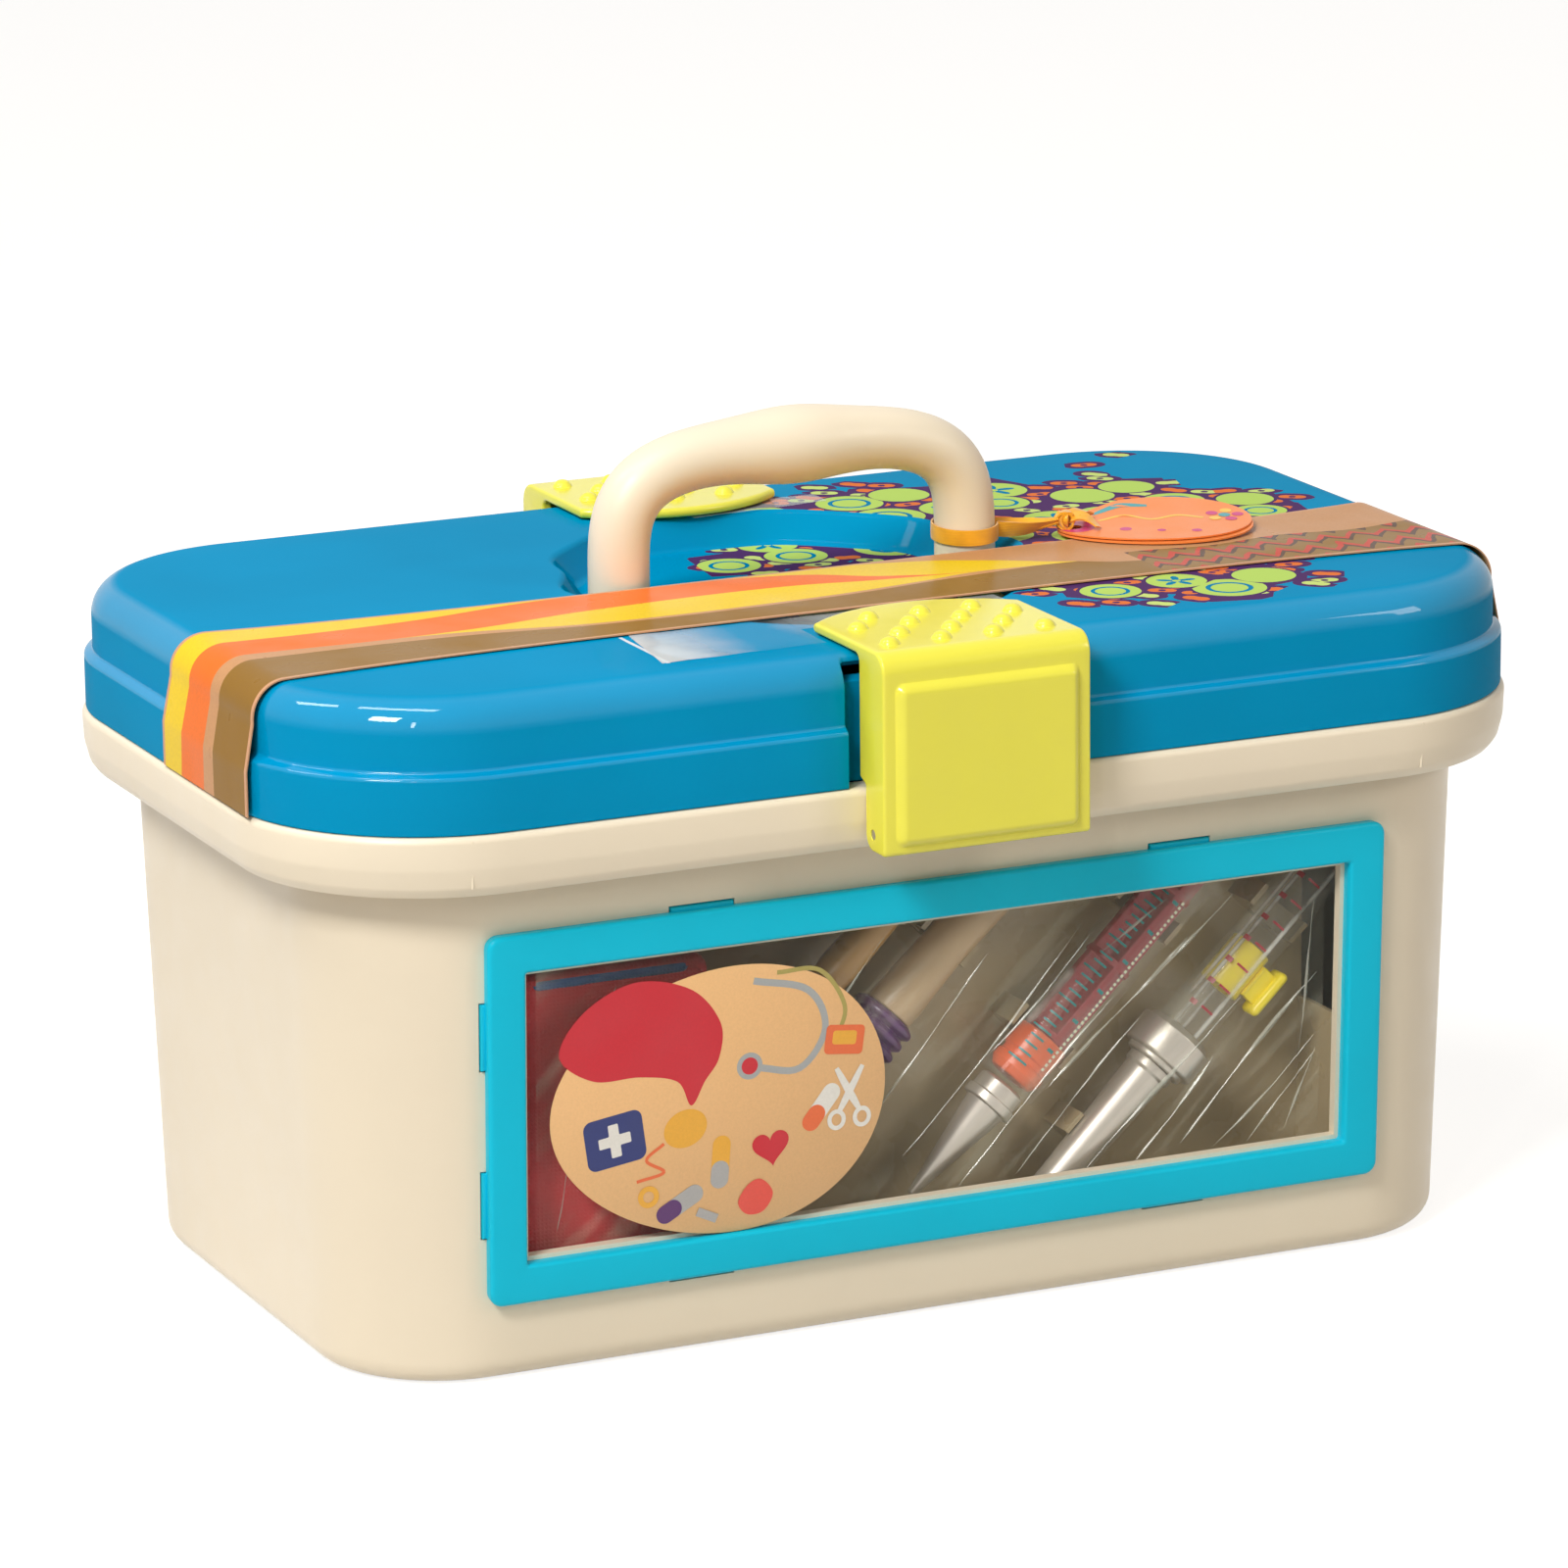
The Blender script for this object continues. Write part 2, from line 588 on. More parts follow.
def bar_lamp(name, a, b, power):
    """A long lamp between two points, facing the lid's front left corner."""
    a, b, target = Vector(a), Vector(b), Vector((-0.145, -0.08, 0.165))
    obj = area_lamp(name, (b - a).length, 0.12, power)
    back, along = ((a + b) / 2 - target).normalized(), (b - a).normalized()
    across = back.cross(along).normalized()
    along = across.cross(back)
    obj.matrix_world = Matrix.Translation((a + b) / 2) @ Matrix((along, across, back)).transposed().to_4x4()


def seen_directly(tree):
    """1 for camera, glossy and transmission rays, else 0."""
    path = tree.nodes.new("ShaderNodeLightPath")
    total = path.outputs["Is Camera Ray"]
    for key in ("Is Glossy Ray", "Is Transmission Ray"):
        n = tree.nodes.new("ShaderNodeMath")
        n.operation, n.use_clamp = "ADD", True
        tree.links.new(total, n.inputs[0])
        tree.links.new(path.outputs[key], n.inputs[1])
        total = n.outputs[0]
    return total


def studio():
    scene = bpy.context.scene
    scene.view_settings.view_transform = "Standard"
    world = bpy.data.worlds.new("studio")
    world.use_nodes = True
    scene.world = world
    tree = world.node_tree
    back = tree.nodes["Background"]
    white = tree.nodes.new("ShaderNodeBackground")
    back.inputs[0].default_value, back.inputs[1].default_value = (1.0, 0.90, 0.78, 1), 0.17
    white.inputs[0].default_value, white.inputs[1].default_value = (1, 1, 1, 1), 1.0
    mix = tree.nodes.new("ShaderNodeMixShader")
    for n, output in enumerate((seen_directly(tree), back.outputs[0], white.outputs[0])):
        tree.links.new(output, mix.inputs[n])
    tree.links.new(mix.outputs[0], tree.nodes["World Output"].inputs[0])
    lamp("key", (-1.25, -0.95, 1.5), (0, 0, 0.09), 0.5, 0.5, 29, (1, 0.985, 0.96))
    lamp("fill", (1.2, -1.3, 0.9), (0, 0, 0.1), 0.5, 0.5, 5.5, (1, 0.94, 0.86))
    lamp("strip", (-0.75, -1.1, 0.75), (0, 0, 0.14), 0.05, 0.4, 1.2)
    bar_lamp("bar_rear", (-0.713, 0.396, 0.854), (-0.575, 0.165, 1.035), 1.9)
    bar_lamp("bar_front", (-0.500, 0.065, 1.092), (-0.175, -0.343, 1.132), 3.0)
    reach = 12000
    floor_mesh = new_mesh("floor", [(x * reach, y * reach, -0.2) for x, y in CORNERS], [(0, 1, 2, 3)])
    floor = new_object("floor", floor_mesh)
    look = Look("floor_white", (0.56, 0.55, 0.53, 1), Roughness=0.9, Emission_Color=(1, 1, 1, 1))
    look.link(look.mix(look.noise(180, 3), (0.56, 0.55, 0.53, 1), (0.58, 0.57, 0.55, 1)), "Base Color")
    look.link(Value(look, seen_directly(look.tree)) * 0.78, "Emission Strength")
    floor_mesh.materials.append(look.mat)


# ---------------------------------------------------------------- tub and lid

def tub(cream):
    profile = rounded([
        (29, 0, 0), (FOOT_IN + 0.1, 0, FOOT_R), (WALL_IN, SEAM - WALL, 1.2), (WALL + 0.1, SEAM - WALL, 1.0),
        (WALL + 1.4, RIM_LOW + 3.4, 2), (WALL + 2.2, RIM_LOW + 0.1, 0.6), (3.4, RIM_LOW, 1.4),
        (1.5, RIM_LOW + 2.4, 3.0), (0.35, RIM_LOW + 7.0, 6.0), (0, SEAM, 2.0), (3.8, SEAM, 0.3), (3.8, SEAM + 3, 0.5),
        (5.8, SEAM + 3, 0.5), (5.8, SEAM, 0.3), (WALL_IN + WALL, SEAM, 0.8), (FOOT_IN + WALL, FOOT_R + WALL, 2),
        (FOOT_IN + WALL + 0.6, WALL, 4), (29, WALL, 0)])
    stations = np.array([-115, -100, -80, -60, -33, -31.6, 0, 31.6, 33, 60, 80, 100, 115.0])
    points = around(case_path(stations), profile)
    # The bead stops where the lid is set in behind each latch
    inside = (np.abs(points[:, :, 0]) < 32.3) & (np.abs(points[:, :, 1]) > 85) & (points[:, :, 2] > SEAM)
    points[:, :, 2][inside] = SEAM - 0.02
    shape = Shape()
    shape.grid(points, wrap_u=True)
    shape.cap(points[:, 0], points[:, -1])
    lug_r, lug_end = 3.3, PIN_Y - HALF_WID + 3.3
    lug = rounded([(-WALL, lug_r, 0), (lug_end, lug_r, 3.2), (lug_end, -lug_r, 3.2), (-WALL, -lug_r, 0)])
    for side in (-1, 1):
        for x in (-15, 15):
            ends = [[(x + dx, side * (HALF_WID + a), PIN_Z + b) for a, b in lug] for dx in (-4.5, 4.5)]
            shape.grid(ends, wrap_v=True)
            shape.cap(*ends)
    ob = shape.build("tub_body", "tub", [cream], "cream_plastic", ["base_shell", "tub_rim"])
    play = 0.35
    cx, cu = FRAME_LEN / 2 - BORDER - 1.4, FRAME_H / 2 - BORDER - 1.4
    cuts = [wall_box(-cx, cx, -cu, cu)]
    cuts += [wall_box(x - w / 2 - play, x + w / 2 + play, u - h / 2 - play, u + h / 2 + play)
             for x, u, w, h in tab_places()]
    carve(ob, cuts)
    smooth(ob)
    # Mould parting ticks on the rim
    ticks, rim_h, mid_x, mid_y = Shape(), SEAM - RIM_LOW, HALF_LEN - CORNER, HALF_WID - CORNER
    for sx, px in ((-1, 124.5), (1, 122.0)):
        for sy in (-1, 1):
            line = []
            for z in linspace(RIM_LOW + 2.5, SEAM - 1.2, 10):
                inset = 1.25 * (SEAM - z) / rim_h - 0.16 * sin(pi * (z - RIM_LOW) / rim_h) ** 0.5
                row = []
                for dx, back in ((-0.4, 0.3), (0, 0), (0.4, 0.3)):
                    a = asin((px + dx - mid_x) / CORNER)
                    r = CORNER - inset - back
                    row.append((sx * (mid_x + r * sin(a)), sy * (mid_y + r * cos(a)), z))
                line.append(row)
            ticks.grid(line)
    ticks.build("rim_parting_ticks", "tub", [cream], "cream_plastic")


def tab_places():
    """Snap tabs of the window frame: (x, up, width, height)."""
    u, x = FRAME_H / 2, FRAME_LEN / 2
    return ([(s * 62.5, t * u, 16, 1.6) for s in (-1, 1) for t in (-1, 1)]
            + [(s * x, t * 20.5, 1.6, 16) for s in (-1, 1) for t in (-1, 1)])


def recess_field(x, y):
    """Distance outside the recess's mouth: a long octagon with a round pocket at each leg."""
    ax, ay = np.abs(x), np.abs(y)
    planes = np.stack([ax - RECESS_LEN, ay - RECESS_WID, 0.688 * ax + 0.725 * ay - 59.4])
    k, blend = 3.0, 12.0
    octagon = k * np.log(np.sum(np.exp(planes / k), axis=0)) - 0.4
    pocket = np.hypot(ax - SPAN, ay) - 13.0
    h = np.clip(0.5 + 0.5 * (pocket - octagon) / blend, 0, 1)
    return pocket * (1 - h) + octagon * h - blend * h * (1 - h)


def recess_loop(level, z, count=288):
    """The line where the field has a value, at a height, followed out from an even walk round the mouth."""
    a = linspace(0, 2 * pi, 1441)
    lo, hi = np.full(len(a), 2.0), np.full(len(a), 90.0)
    for _ in range(40):
        mid = (lo + hi) / 2
        inside = recess_field(mid * np.cos(a), mid * np.sin(a)) < 0
        lo, hi = np.where(inside, mid, lo), np.where(inside, hi, mid)
    walk = np.stack([lo * np.cos(a), lo * np.sin(a)], axis=1)
    gone = walked(walk)
    even = linspace(0, gone[-1], count, endpoint=False)
    x, y = (np.interp(even, gone, walk[:, i]) for i in (0, 1))
    steps, h = 12, 0.02
    for i in range(1, steps + 1):
        for _ in range(2):
            gx = (recess_field(x + h, y) - recess_field(x - h, y)) / (2 * h)
            gy = (recess_field(x, y + h) - recess_field(x, y - h)) / (2 * h)
            move = (level * i / steps - recess_field(x, y)) / np.maximum(gx ** 2 + gy ** 2, 0.2)
            x, y = x + gx * move, y + gy * move
    return np.stack([x, y, np.full(count, z)], axis=1)


def walked(line):
    """How far along a line each of its points lies."""
    return np.concatenate([[0], np.cumsum(np.linalg.norm(np.diff(line, axis=0), axis=1))])


def lid(blue):
    profile = rounded([
        (LID_IN, LID_LOW, 0.5), (LID_IN, TIER - 0.6, 1.1), (TIER_IN, TIER + 0.6, 0.9), (TIER_IN, LID_TOP, SHOULDER),
        (TOP_EDGE, LID_TOP, 0), (TOP_EDGE, LID_TOP - WALL, 0), (TIER_IN + WALL, LID_TOP - WALL, SHOULDER - WALL),
        (TIER_IN + WALL, TIER, 0.8), (LID_IN + WALL, TIER - 2.2, 0.8), (LID_IN + WALL, LID_LOW, 0.4)],
        closed=True, step=9)
    cut = int(np.argmin(np.hypot(profile[:, 0] - TOP_EDGE, profile[:, 1] - (LID_TOP - WALL))))
    profile = np.roll(profile, -cut, axis=0)          # starts at the inner top edge, ends at the outer one
    inner = (profile[:, 0] > LID_IN + WALL - 0.01) & (profile[:, 1] < LID_TOP - WALL + 0.01)
    fine = linspace(28.4, 30.4, 11)
    path = case_path(np.concatenate([[-115, -95, -75, -55, -40, -33], -fine[::-1], [-20, -10, 0, 10, 20], fine,
                                     [33, 40, 55, 75, 95, 115.0]]))
    points = around(path, profile)
    # Set in behind each latch
    weight = 1 - step_up(NOTCH_X - 0.8, NOTCH_X + 0.9, np.abs(points[:, :, 0]))
    over = np.abs(points[:, :, 1]) - np.where(inner, NOTCH_Y - WALL, NOTCH_Y)[None, :]
    soft = 0.9
    past = np.where(over > soft, over, np.where(over < -soft, 0, (over + soft) ** 2 / (4 * soft)))
    flat_side = (np.abs(path[:, 3]) > 0.999)[:, None]
    points[:, :, 1] -= np.sign(points[:, :, 1]) * past * weight * flat_side
    shape = Shape()
    shape.grid(points, wrap_u=True)

    def recess(edge, line, step):
        rings = [recess_loop(s, z) for s, z in rounded(line, step=step)]
        shape.grid(rings, wrap_v=True)
        shape.cap(rings[-1])
        shape.fill(edge, rings[0])

    floor, under = LID_TOP - RECESS_DEPTH, LID_TOP - RECESS_DEPTH - WALL
    recess(points[:, -1], [(3.2, LID_TOP, 0), (0.3, LID_TOP, 2.2), (-4.7, floor, 3.0), (-9, floor, 0)], 8)
    recess(points[:, 0], [(4.6, LID_TOP - WALL, 0), (2.6, LID_TOP - WALL, 1.2), (-2.6, under, 2.0), (-9, under, 0)],
           10)
    shape.build("lid_moulding", "lid", [blue], "blue_plastic", ["lid_shell"], sharp=42)


def handle(cream):
    floor = LID_TOP - RECESS_DEPTH
    line = [(SPAN, 0, floor - 0.3, LEG_R + 0.5), (SPAN, 0, floor + 0.5, LEG_R), (SPAN, 0, LID_TOP - 3, LEG_R)]
    bends = linspace(0.35, 1.1, 34), linspace(pi - 1.1, pi - 0.35, 34)
    for a in np.unique(np.concatenate([linspace(0, pi, 61), *bends])):
        reach = ((abs(cos(a)) / SPAN) ** BOW + (abs(sin(a)) / RISE) ** BOW) ** (-1 / BOW)
        x, z = reach * cos(a), reach * sin(a)
        line.append((x, 0, LID_TOP + z, LEG_R + SWELL * exp(-(x / SWELL_LEN) ** 2)))
    line += [(-x, y, z, r) for x, y, z, r in line[2::-1]]
    tangent = np.gradient(np.array([p[:3] for p in line]), axis=0)
    tangent[:3], tangent[-3:] = (0, 0, 1), (0, 0, -1)
    side = np.array((0.0, 1.0, 0.0))
    rows = []
    for (*c, r), t in zip(line, unit(tangent)):
        n = np.cross(side, t)
        rows.append([c + r * (cos(b) * n + sin(b) * side) for b in circle(56)])
    shape = Shape()
    shape.grid(rows, wrap_v=True)
    shape.cap(rows[0], rows[-1])
    shape.build("handle_grip", "lid", [cream], "cream_plastic", ["handle"], sharp=60)


# ---------------------------------------------------------------- latches

def inset_loop(loop, amount):
    """A closed loop drawn in by an amount, for a loop that runs anticlockwise."""
    t = np.roll(loop, -1, axis=0) - np.roll(loop, 1, axis=0)
    t /= np.linalg.norm(t, axis=1)[:, None] + 1e-12
    return loop + amount * np.stack([-t[:, 1], t[:, 0]], axis=1)


def latch(name, node, sign, lime):
    """One latch. Its outline is drawn as (distance from the case's middle, height)."""
    edge_r, tip_r, bore_r, low = 0.8, 1.1, 1.3, PIN_Z - 4.2
    top, plate_in = FLAP_Z + LATCH_T, PLATE_Y - LATCH_T
    half, lining = LATCH_W / 2, LATCH_W / 2 - CHEEK_T
    panel_mid = (low + top - BEND_R) / 2

    def end_y(x):
        return FLAP_Y + FLAP_ARC - sqrt(FLAP_ARC ** 2 - x * x)

    line = rounded([(plate_in, low, 0), (PLATE_Y, low, 1.2), (PLATE_Y, top, BEND_R), (FLAP_Y - 2, top, 0)], step=7)
    plate = [line[0]]
    for p, q in zip(line[:-1], line[1:]):
        n = max(1, ceil(np.linalg.norm(q - p) / 0.4))
        plate += [p + (q - p) * i / n for i in range(1, n + 1)]
    plate = np.array(plate)

    def level_run(a, b, count, z):
        run = linspace(a, b, count)[1:]
        return np.stack([run, np.full(len(run), z)], axis=1)

    def outer(x):
        """Plate, bend and flap on the outside, with the rounded free edge."""
        tip_y = end_y(x) + tip_r
        turn = linspace(0, pi, 9)[1:]
        tip = np.stack([tip_y - tip_r * np.sin(turn), top - 1.2 + 1.2 * np.cos(turn)], axis=1)
        return np.concatenate([plate[plate[:, 0] >= FLAT_FROM], level_run(FLAT_FROM, tip_y, 40, top), tip])

    def back(x, cheek):
        """The rest of the outline, from the flap's free edge to the plate's foot."""
        if cheek:
            rest = [(94.2, FLAP_Z, 7.0), (94.2, 139.4, 1.0), (PIN_Y - 4.2, 138.0, 0.8), (PIN_Y - 4.2, low, 4.1)]
        else:
            rest = [(plate_in, FLAP_Z, BEND_R - LATCH_T)]
        rest = rounded([(FLAT_FROM, FLAP_Z, 0), *rest, (plate_in, low, 0)], step=9)
        return np.concatenate([level_run(end_y(x) + tip_r, FLAT_FROM, 24, FLAP_Z), rest[1:-1]])

    def pillow(x, z):
        qx, qz = abs(x) - (PANEL_X - PANEL_CORNER), abs(z - panel_mid) - (PANEL_Z - PANEL_CORNER)
        d = PANEL_CORNER - hypot(max(qx, 0), max(qz, 0)) - min(max(qx, qz), 0)
        return PANEL_RISE * sin(min(max(d / 2.4, 0), 1) * pi / 2)

    def place(x, loop, puff=False):
        return [(x, sign * (y + pillow(x, z) if puff and y > PLATE_Y - 0.01 else y), z) for y, z in loop]

    shape = Shape()
    creases = linspace(20.6, 24.2, 19)
    mid = np.unique(np.round(np.concatenate([linspace(-half + edge_r, half - edge_r, 25), creases, -creases]), 3))
    shape.grid([place(x, outer(x), True) for x in mid])
    xs, foot = linspace(-lining, lining, 15), [(plate_in, low)]
    rows = [place(x, np.concatenate([back(x, False), foot])) for x in xs]
    shape.grid(rows)
    shape.grid([place(x, outer(x)[-1:]) + row[:1] for x, row in zip(xs, rows)])
    whole = np.concatenate([outer(half - edge_r), back(half - edge_r, True)])
    for s in (-1, 1):
        loops = [place(s * (half - edge_r + edge_r * sin(a)), inset_loop(whole, edge_r * (1 - cos(a))))
                 for a in linspace(0, pi / 2, 6)]
        shape.grid(loops, wrap_v=True)
        shape.fill(loops[-1])
        # The cheek's rear edge and inner side
        shape.grid([place(s * x, np.concatenate([outer(x)[-1:], back(x, True), outer(x)[:1]]))
                    for x in (lining, half - edge_r)])
        cheek, plain = (np.concatenate([back(lining, kind)[22:], foot]) for kind in (True, False))
        shape.fill(place(s * lining, np.concatenate([cheek, plain[::-1][1:-1]])))
    cap = [(2.75, -0.12), (2.5, 0.08), (2.36, 0.34), (2.08, 0.84), (1.64, 1.28), (1.1, 1.6), (0.5, 1.76), (0.02, 1.8)]
    for k in range(-3, 4):
        for m in (0, 1):
            cx, cy = k * 6.7, HALF_WID - 8.6 * (2 * m + (abs(k) + 1) % 2)
            shape.grid(turned(cap, lambda x, y, z: (cx + x, sign * (cy + y), top + z), 20), wrap_u=True)
    ob = shape.build(name, node, [lime], "lime_plastic", [node], sharp=40, weld=0.01)
    bore = Shape()
    ring = [[(x, sign * PIN_Y + bore_r * cos(a), PIN_Z + bore_r * sin(a)) for a in circle(24)] for x in (-30, 30)]
    bore.grid(ring, wrap_v=True)
    bore.cap(*ring)
    carve(ob, [(bore.verts, bore.faces)])
    smooth(ob, 40)


# ---------------------------------------------------------------- window

def window(turq, glass):
    def loop(o, h):
        rc = max(3.2 - 0.26 * o, 0.8)
        turns = [(sx * (FRAME_LEN / 2 - o - rc), sy * (FRAME_H / 2 - o - rc), a + i * pi / 2)
                 for i, (sx, sy) in enumerate(quarters) for a in linspace(0, pi / 2, 7)]
        return [wall_point(cx + rc * cos(b), h, cy + rc * sin(b)) for cx, cy, b in turns]

    quarters, inner = CORNERS[2:] + CORNERS[:2], BORDER + 0.3
    profile = rounded([(0.25, 0.05, 0), (0, PROUD, 1.1), (BORDER, PROUD, 1.2), (inner, 1.7, 0.2), (inner, 0.05, 0)])
    shape = Shape()
    shape.grid([loop(o, h) for o, h in profile], wrap_u=True, wrap_v=True)
    for x, u, w, h in tab_places():
        rows = [[wall_point(x + sx * (w / 2 - k), o, u + sy * (h / 2 - k)) for sx, sy in quarters]
                for o, k in ((-3.5, 0), (0.2, 0), (0.55, 0.12), (0.7, 0.4))]
        shape.grid(rows, wrap_v=True)
        shape.cap(rows[-1], rows[0])
    shape.build("window_surround", "tub", [turq], "turquoise_plastic", ["window_frame"], sharp=32)
    pane = Shape()
    hx, hu = FRAME_LEN / 2 - BORDER + 2.6, FRAME_H / 2 - BORDER + 2.6
    pane.grid([[wall_point(sx * hx, 1.5, u) for u in linspace(-hu, hu, 9)] for sx in linspace(-1, 1, 25)])
    pane.build("window_glazing", "tub", [glass], "clear_plastic", ["window_pane"])


# ---------------------------------------------------------------- flat shapes for print

def set_down(points, cx, cy, turn):
    """Points turned about the origin and moved to a place."""
    x, y, c, s = points[:, 0], points[:, 1], cos(turn), sin(turn)
    return np.stack([cx + x * c - y * s, cy + x * s + y * c], axis=1)


def oval(cx, cy, rx, ry, turn=0.0, count=40, egg=0.0):
    a = circle(count)
    return set_down(np.stack([rx * np.cos(a), ry * np.sin(a) * (1 + egg * np.cos(a))], axis=1), cx, cy, turn)


def pill(cx, cy, length, width, turn=0.0, square=1.0):
    r, h, w = width / 2 * square, length / 2, width / 2
    return set_down(rounded([(h, -w, r), (h, w, r), (-h, w, r), (-h, -w, r)], closed=True, step=15), cx, cy, turn)


def heart(cx, cy, size, turn=0.0):
    t = circle(48)
    x = size * np.sin(t) ** 3 / 2
    y = size * (13 * np.cos(t) - 5 * np.cos(2 * t) - 2 * np.cos(3 * t) - np.cos(4 * t)) / 32
    return set_down(np.stack([x, y], axis=1), cx, cy, turn)


def plus(h, w, r):
    """The outline of a plus sign: reach and half width of its arms, and corner radius."""
    return rounded([(w, -h, r), (w, -w, r), (h, -w, r), (h, w, r), (w, w, r), (w, h, r), (-w, h, r), (-w, w, r),
                    (-h, w, r), (-h, -w, r), (-w, -w, r), (-w, -h, r)], closed=True, step=30)


def between(a, b, c, d, t):
    """A smooth curve through points, between b and c."""
    return 0.5 * (2 * b + (c - a) * t + (2 * a - 5 * b + 4 * c - d) * t * t + (3 * b - a - 3 * c + d) * t ** 3)


def flowing(points, steps=10):
    """A smooth closed outline through points."""
    p, n = np.array(points, float), len(points)
    return np.array([between(p[i - 1], p[i], p[(i + 1) % n], p[(i + 2) % n], t)
                     for i in range(n) for t in linspace(0, 1, steps, endpoint=False)])


def stroke(points, width, steps=8, taper=0.0):
    """A smooth open line with a width, as an outline."""
    p = np.array(points, float)
    ext = np.vstack([2 * p[0] - p[1], p, 2 * p[-1] - p[-2]])
    line = np.array([between(*ext[i - 1:i + 3], t) for i in range(1, len(ext) - 2)
                     for t in linspace(0, 1, steps, endpoint=(i == len(ext) - 3))])
    t = unit(np.gradient(line, axis=0))
    n = np.stack([-t[:, 1], t[:, 0]], axis=1)
    w = width / 2 * (1 - taper * np.abs(linspace(-1, 1, len(line))) ** 2)[:, None]
    return np.concatenate([line + n * w, (line - n * w)[::-1]])


class Print:
    """Printed shapes, each laid a hair above the last. place(a, b, out) gives the point."""

    def __init__(self, shape, place, height, gap, inks):
        self.shape, self.place, self.height, self.gap, self.inks = shape, place, height, gap, inks

    def __call__(self, outline, color, *holes):
        self.height += self.gap
        loops = [[self.place(a, b, self.height + 0.02) for a, b in loop] for loop in (outline, *holes)]
        self.shape.fill(*loops, mat=self.inks.index(color))


# ---------------------------------------------------------------- label, band, ribbon, tags, tape

def label(paper, inks):
    """The tan egg with a bare red shape and plain signs of a doctor's visit."""
    outline = oval(*LABEL_AT, *LABEL_SIZE, count=96, egg=0.1)
    shape = Shape()
    rim = [[wall_point(q[0], o, q[1]) for q in (outline - LABEL_AT) * k + LABEL_AT]
           for o, k in ((1.55, 1.0), (1.78, 1.0), (LABEL_OUT, 0.997))]
    shape.grid(rim, wrap_v=True)
    shape.fill(rim[-1])
    shape.fill(rim[0])
    shape.build("label_sheet", "tub", [paper], "label_paper", ["window_label"], sharp=40)
    art = Shape()
    draw = Print(art, lambda a, b, out: wall_point(a, out, b), LABEL_OUT, 0.004, list(inks))
    draw(flowing([(-99.5, 14), (-93, 24), (-80, 29.5), (-66, 26), (-58.5, 17), (-58.8, 8.5), (-62.5, 3),
                  (-66, -2.5), (-69.5, 3.8), (-79, 6.2), (-91, 6.8)]), "red")
    draw(stroke([(-50, 26), (-36, 22), (-31.5, 12), (-38, 3), (-49, 4.5)], 1.7), "grey")
    draw(stroke([(-44, 27.3), (-33, 26.5), (-26.5, 17), (-28.5, 9)], 1.1), "olive")
    draw(oval(-51, 5.2, 3.3, 3.3), "grey")
    draw(oval(-51, 5.2, 2.1, 2.1), "red")
    draw(pill(-85.5, -8.5, 15, 12.5, 0.14, 0.35), "navy")
    draw(set_down(plus(8.2 / 2, 2.6 / 2, 2.6 * 0.12), -85.5, -8.5, 0.14), "white")
    draw(oval(-67.5, -8.0, 5.6, 4.6, 0.3), "yellow")
    draw(stroke([(-73, -11), (-77.5, -14.5), (-73, -18), (-80, -19.5)], 0.8), "orange")
    for x, y, a, first, second in ((-32.5, -7.5, 0.9, "orange", "white"), (-58.5, -17.5, 1.5, "silver", "yellow"),
                                   (-69, -26.5, 0.5, "purple", "silver")):
        draw(pill(x, y, 13, 4.6, a), second)
        draw(pill(x - 3.1 * cos(a), y - 3.1 * sin(a), 6.8, 4.6, a), first)
    draw(heart(-45.5, -15.5, 9.5, 0.12), "red")
    draw(pill(-26.5, 8.5, 10.0, 7.2, -0.12, 0.3), "orange")
    draw(pill(-26.5, 9.0, 6.2, 3.4, -0.12, 0.4), "yellow")
    for side in (-1, 1):
        draw(stroke([(-25.2 + side * 2.6, -9.2), (-25.2, -4.6), (-25.2 - side * 3.4, 1.6)], 1.9, taper=0.4), "white")
        x = -25.2 + side * 3.3
        draw(oval(x, -11.2, 2.4, 2.6), "white", oval(x, -11.2, 1.3, 1.5, count=24))
    draw(oval(-77.0, -23.6, 2.7, 2.7), "yellow", oval(-77.0, -23.6, 1.4, 1.4, count=24))
    draw(stroke([(-64.5, -29.0), (-59.5, -31.4)], 2.2), "silver")
    draw(flowing([(-51.5, -24.2), (-48, -23.2), (-45, -27), (-47.5, -31.2), (-51.8, -31.4), (-54, -28.2)]), "coral")
    art.build("label_print", "tub", list(inks.values()), "label_paper", sharp=20, weld=0.0001)


def band_line(gap):
    """The band's way up the left end, over the lid and down the right end, as (x, z)."""
    x0, x1 = HALF_LEN - LID_IN + gap, HALF_LEN - TIER_IN + gap
    cx, cz, r = HALF_LEN - TIER_IN - SHOULDER, LID_TOP - SHOULDER, SHOULDER + gap
    right = [(x0, z) for z in linspace(BAND_LOW, TIER - 3, 7)]
    right += [(x0 + (x1 - x0) * k, (TIER - 3) * (1 - k) + (cz - 1.0) * k) for k in linspace(0.1, 1, 8)]
    right += [(cx + r * cos(a), cz + r * sin(a)) for a in linspace(0, pi / 2, 15)]
    top = [(x, cz + r) for x in linspace(cx - 3, -cx + 3, 70)]
    return np.array([(-x, z) for x, z in right + top] + right[::-1])


def band_half(x):
    t = (abs(x) / HALF_LEN) ** 4
    return (42 * (1 - t) + 56 * t) / 2


